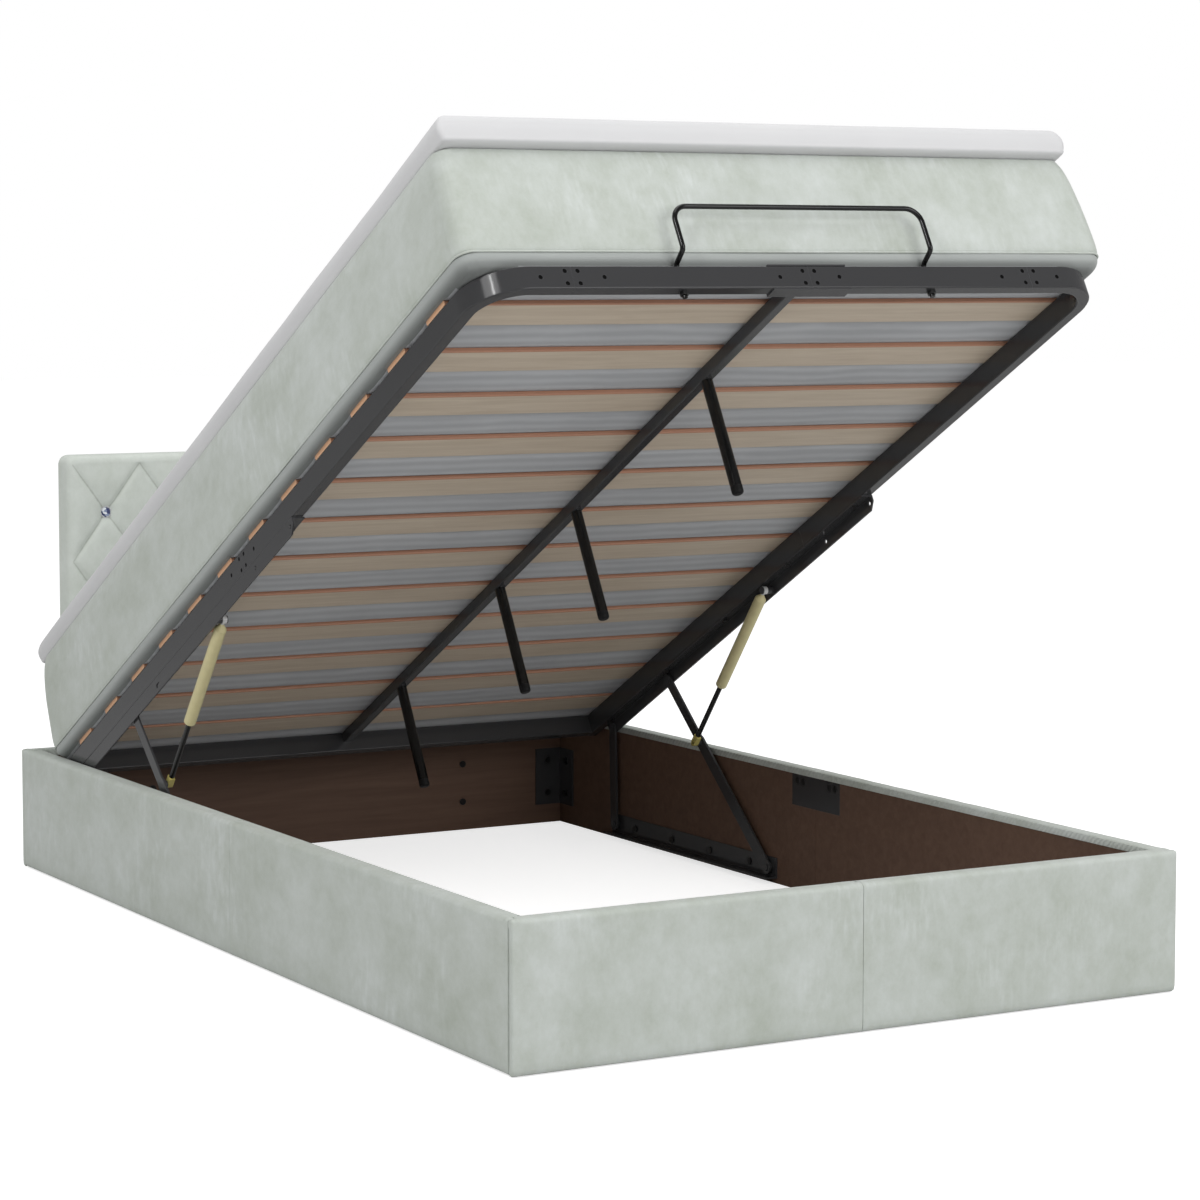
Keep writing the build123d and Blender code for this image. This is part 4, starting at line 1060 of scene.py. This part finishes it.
def tufted(x, y, z):
    """Press the stitched lines and buttons into the front, and let the diamonds swell."""
    column = x / HALF_COLUMN + COLUMNS
    row = (PATTERN_TOP - z) / HALF_ROW
    rising = (column + row) / 2
    falling = (column - row) / 2
    inside = (row >= 0) & (row <= ROWS) & (np.abs(column - COLUMNS) <= COLUMNS)
    rise_gap = np.abs(rising - np.round(rising)) * LINE_PITCH
    fall_gap = np.abs(falling - np.round(falling)) * LINE_PITCH
    near = np.minimum(rise_gap, fall_gap)
    groove = GROOVE_DEPTH * np.exp(-np.abs(near / GROOVE_WIDTH) ** 1.4)
    crest = (np.abs(np.sin(np.pi * rising)) * np.abs(np.sin(np.pi * falling))) ** 0.6
    swell = SWELL * crest * np.clip(np.minimum(row, ROWS - row) / SWELL_ROWS, 0, 1)
    node_column = np.round(column)
    node_row = np.round(row)
    odd = (node_column + node_row) % 2 != 0
    node_column = np.where(odd, node_column + np.sign(column - node_column), node_column)
    reach = np.hypot((column - node_column) * HALF_COLUMN, (row - node_row) * HALF_ROW)
    is_tuft = (node_row >= 1) & (node_row <= ROWS - 1)
    is_tuft &= (node_column >= 1) & (node_column <= 2 * COLUMNS - 1)
    dimple = np.where(is_tuft, TUFT_DEPTH * np.exp(-((reach / TUFT_WIDTH) ** 2)), 0)
    edge_fade = 1
    for margin in (BOARD_HALF - np.abs(x), BOARD_HIGH - z, z - BOARD_LOW):
        edge_fade = edge_fade * np.clip((margin - EDGE_MARGIN) / EDGE_FADE, 0, 1)
    front_fade = np.clip(1 - (y - BOARD_FRONT) / FRONT_FADE, 0, 1)
    depth = np.where(inside, groove + dimple - swell, 0)
    crease = uneven(x, z, y, (0.0003, 0.02, 4.1), (0.0006, 0.11, 8.7))
    return x, y + front_fade * edge_fade * (depth + crease), z


move_points(headboard, tufted)
headboard.data.materials.append(velvet_tufted)
bpy.ops.object.shade_smooth()
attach(headboard, "bed_base")
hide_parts("headboard_cushion")
print("headboard faces", len(headboard.data.polygons))

# %% [markdown]
# ## Mattress and topper
# Both lie on the lid, so they are made flat, in the lid's own directions, and turned into place
# at the end. The mattress has velvet sides that swell between a piped seam near the bottom and
# the topper, and grey cloth that rolls in below the seam. The topper is a firm white slab.

# %% Sizes on the lid
LID_ORIGIN = (0.0, 0.803455, 0.205240)
lid_turn = Matrix.Translation(LID_ORIGIN) @ Matrix.Rotation(-math.radians(LID_ANGLE), 4, "X")
MATTRESS_LOW = 0.0471
MATTRESS_HIGH = 0.2547
TOPPER_HIGH = 0.3027
MATTRESS_FOOT = -1.954
MATTRESS_HEAD = 0.0475
TOPPER_FOOT = -1.9595
TOPPER_HEAD = 0.0515
MATTRESS_HALF = 0.601
TOPPER_HALF = 0.588
PIPING_RISE = 0.0215
SLAT_PLACES = [FIRST_SLAT + SLAT_PITCH * index for index in range(SLATS)]
SAG = 0.0072
SAG_EDGE = 0.5785
SAG_START = 0.001
SAG_RUN = 0.014
UNDERSIDE = 0.0005
ROW_PITCH = 0.03


def onto_lid(x, y, z):
    """Turn points from the lid's own directions into the bed's frame."""
    points = np.array([x, y, z, np.ones_like(x)])
    return (np.array(lid_turn) @ points)[:3]


def rounded_block(name, low, high, corner, edge_cuts):
    """A block on the lid with rounded upright corners, cut into even rows."""
    piece = add_block(name, low, high)
    pick(piece, "EDGE", lambda m, s: s.z > 0.02)
    bpy.ops.mesh.bevel(offset=corner, segments=6)
    cut_rows(piece, 2, edge_cuts)
    for axis in (0, 1):
        cut_rows(piece, axis, steps(low[axis], high[axis], ROW_PITCH))
    return piece


def draw_in(low, high, amount):
    """A rule that moves points in from the sides by an amount that depends on their height."""
    middle = ((low[0] + high[0]) / 2, (low[1] + high[1]) / 2)
    half = ((high[0] - low[0]) / 2, (high[1] - low[1]) / 2)

    def rule(x, y, z):
        inset = amount(z)
        return (
            middle[0] + (x - middle[0]) * (1 - inset / half[0]),
            middle[1] + (y - middle[1]) * (1 - inset / half[1]),
            z,
        )

    return rule


# %% The mattress
MATTRESS_CORNER = 0.03
SEAM_RISES = (0.002, 0.005, 0.010, 0.016, 0.0205, 0.0215, 0.0225, 0.028)
UPPER_RISES = (0.04, 0.06, 0.08, 0.1, 0.12, 0.14, 0.16, 0.18, 0.195, 0.204)
mattress_low = (-MATTRESS_HALF, MATTRESS_FOOT, MATTRESS_LOW)
mattress_high = (MATTRESS_HALF, MATTRESS_HEAD, MATTRESS_HIGH)
mattress_rows = [MATTRESS_LOW + rise for rise in SEAM_RISES + UPPER_RISES]
mattress = rounded_block(
    "mattress_body", mattress_low, mattress_high, MATTRESS_CORNER, mattress_rows
)
slat_edges = [
    -place + side * (SLAT_HALF + gap)
    for place in SLAT_PLACES
    for side in (-1, 1)
    for gap in (0.001, 0.005, 0.010, 0.015)
]
cut_rows(mattress, 1, slat_edges)
cut_rows(mattress, 0, [side * place for side in (-1, 1) for place in (0.575, 0.588, 0.5935)])


def mattress_inset(z):
    """How far the sides stand in from the widest line at a height."""
    rise = z - MATTRESS_LOW
    heights = (0, *SEAM_RISES, 0.04, 0.08, 0.12, 0.16, 0.19, MATTRESS_HIGH - MATTRESS_LOW)
    insets = (14.5, 11, 7.5, 4.5, 3, 3.2, 5.6, 1.8, 0.7, 0, 0.8, 2.6, 5.5, 9, 15)
    return np.interp(rise, heights, insets) / 1000


move_points(mattress, draw_in(mattress_low, mattress_high, mattress_inset))


def sag_between_slats(x, y, z):
    """Let the underside hang down to the rails between the slats."""
    under = z < MATTRESS_LOW + UNDERSIDE
    gap = np.min([np.abs(-y - place) for place in SLAT_PLACES], axis=0) - SLAT_HALF
    drop = np.clip((gap - SAG_START) / SAG_RUN, 0, 1)
    drop = drop * drop * (3 - 2 * drop)
    within = np.clip((SAG_EDGE + SAG_START - np.abs(x)) / SAG_START, 0, 1)
    return x, y, z - np.where(under, SAG * drop * within, 0)


move_points(mattress, sag_between_slats)


def mattress_waves(x, y, z):
    """A slow unevenness on the sides, which fades out above and below."""
    rise = (z - MATTRESS_LOW) / (MATTRESS_HIGH - MATTRESS_LOW)
    side = np.sin(np.pi * np.clip(rise, 0, 1)) ** 0.5
    wave = uneven(x, y, z, (0.0016, 0.23, 2.2), (0.0007, 0.07, 5.5))
    out_x = np.where(np.abs(x) > MATTRESS_HALF - MATTRESS_CORNER, np.sign(x), 0)
    middle = (MATTRESS_FOOT + MATTRESS_HEAD) / 2
    half = (MATTRESS_HEAD - MATTRESS_FOOT) / 2
    out_y = np.where(np.abs(y - middle) > half - MATTRESS_CORNER, np.sign(y - middle), 0)
    return x + out_x * wave * side, y + out_y * wave * side, z


move_points(mattress, mattress_waves)
move_points(mattress, onto_lid)

# %% [markdown]
# Above the piping the mattress is velvet. Below it, the ticking shows between the slats, and the
# border cloth covers the roll. It also takes the underside outside the rails and at the corners
# that the rounded rails leave open, where its painted shade darkens them.

# %% The mattress's three cloths
CORNER_SIDE = 0.50
CORNER_FOOT = -1.885

for look in (velvet_tilted, ticking, border):
    mattress.data.materials.append(look)
lid_back = lid_turn.inverted()
for face in mattress.data.polygons:
    middle = lid_back @ face.center
    rise = middle.z - MATTRESS_LOW
    if rise < PIPING_RISE:
        between_rails = abs(middle.x) < SAG_EDGE + SAG_START
        at_corner = abs(middle.x) > CORNER_SIDE and middle.y < CORNER_FOOT
        is_ticking = rise < UNDERSIDE and between_rails and not at_corner
        # Faces that take the border cloth get its painted shade, darker towards the bottom.
        face.material_index = 1 if is_ticking else 2
soften(mattress)
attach(mattress, "lid")
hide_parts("mattress")
print("mattress faces", len(mattress.data.polygons))

# %% The piped seam
PIPING_IN = 0.0026
PIPING_CORNER = 0.027
PIPING_RADIUS = 0.0018

bpy.ops.object.select_all(action="DESELECT")
bpy.ops.mesh.primitive_plane_add(size=1)
piping = bpy.context.object
piping.name = "mattress_piping"
piping_middle = (MATTRESS_FOOT + MATTRESS_HEAD) / 2
piping_length = MATTRESS_HEAD - MATTRESS_FOOT - 2 * PIPING_IN
piping.scale = (2 * (MATTRESS_HALF - PIPING_IN), piping_length, 1)
piping.location = (0, piping_middle, MATTRESS_LOW + PIPING_RISE)
bpy.ops.object.transform_apply(location=True, rotation=True, scale=True)
bpy.ops.object.mode_set(mode="EDIT")
bpy.ops.mesh.select_all(action="SELECT")
bpy.ops.mesh.bevel(offset=PIPING_CORNER, segments=8, affect="VERTICES")
bpy.ops.mesh.delete(type="ONLY_FACE")
bpy.ops.object.mode_set(mode="OBJECT")
bpy.ops.object.convert(target="CURVE")
piping.data.bevel_depth = PIPING_RADIUS
piping.data.bevel_resolution = 3
bpy.ops.object.convert(target="MESH")
move_points(piping, onto_lid)
piping.data.materials.append(velvet_tilted)
bpy.ops.object.shade_smooth()
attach(piping, "lid")

# %% The topper
TOPPER_CORNER = 0.008
TOPPER_BAND = 0.02
TOPPER_RISES = (0.003, 0.007, 0.015, 0.024, 0.033, 0.041, 0.045)
topper_low = (-TOPPER_HALF, TOPPER_FOOT, MATTRESS_HIGH)
topper_high = (TOPPER_HALF, TOPPER_HEAD, TOPPER_HIGH)
topper_rows = [MATTRESS_HIGH + rise for rise in TOPPER_RISES]
topper = rounded_block("topper_pad", topper_low, topper_high, TOPPER_CORNER, topper_rows)


def topper_inset(z):
    """The topper's edge: nearly upright, with small rolled corners above and below."""
    rise = z - MATTRESS_HIGH
    heights = (0, *TOPPER_RISES, TOPPER_HIGH - MATTRESS_HIGH)
    insets = (4, 0.6, 1.4, 0.6, 0, 0.6, 2.4, 4.4, 8)
    return np.interp(rise, heights, insets) / 1000


move_points(topper, draw_in(topper_low, topper_high, topper_inset))


def topper_waves(x, y, z):
    """A faint unevenness of the upper face and of the edges."""
    wave = uneven(x, y, z, (0.0010, 0.3, 1.7), (0.0004, 0.08, 6.1))
    upper = np.clip((z - MATTRESS_HIGH) / (TOPPER_HIGH - MATTRESS_HIGH), 0, 1)
    edge = uneven(x, y, z * 3, (0.0014, 0.14, 3.9), (0.0006, 0.05, 9.2))
    roll = np.interp(upper, (0, 0.15, 0.3, 0.45, 0.7, 1), (6, 3, 0.8, 0, 3, 8.5)) / 1000
    out_x = np.where(np.abs(x) > TOPPER_HALF - TOPPER_BAND, np.sign(x), 0)
    return x + out_x * (edge - roll), y, z + wave * upper


move_points(topper, topper_waves)
move_points(topper, onto_lid)
topper.data.materials.append(topper_knit)
soften(topper)
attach(topper, "lid")
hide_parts("mattress_topper")
print("topper faces", len(topper.data.polygons))
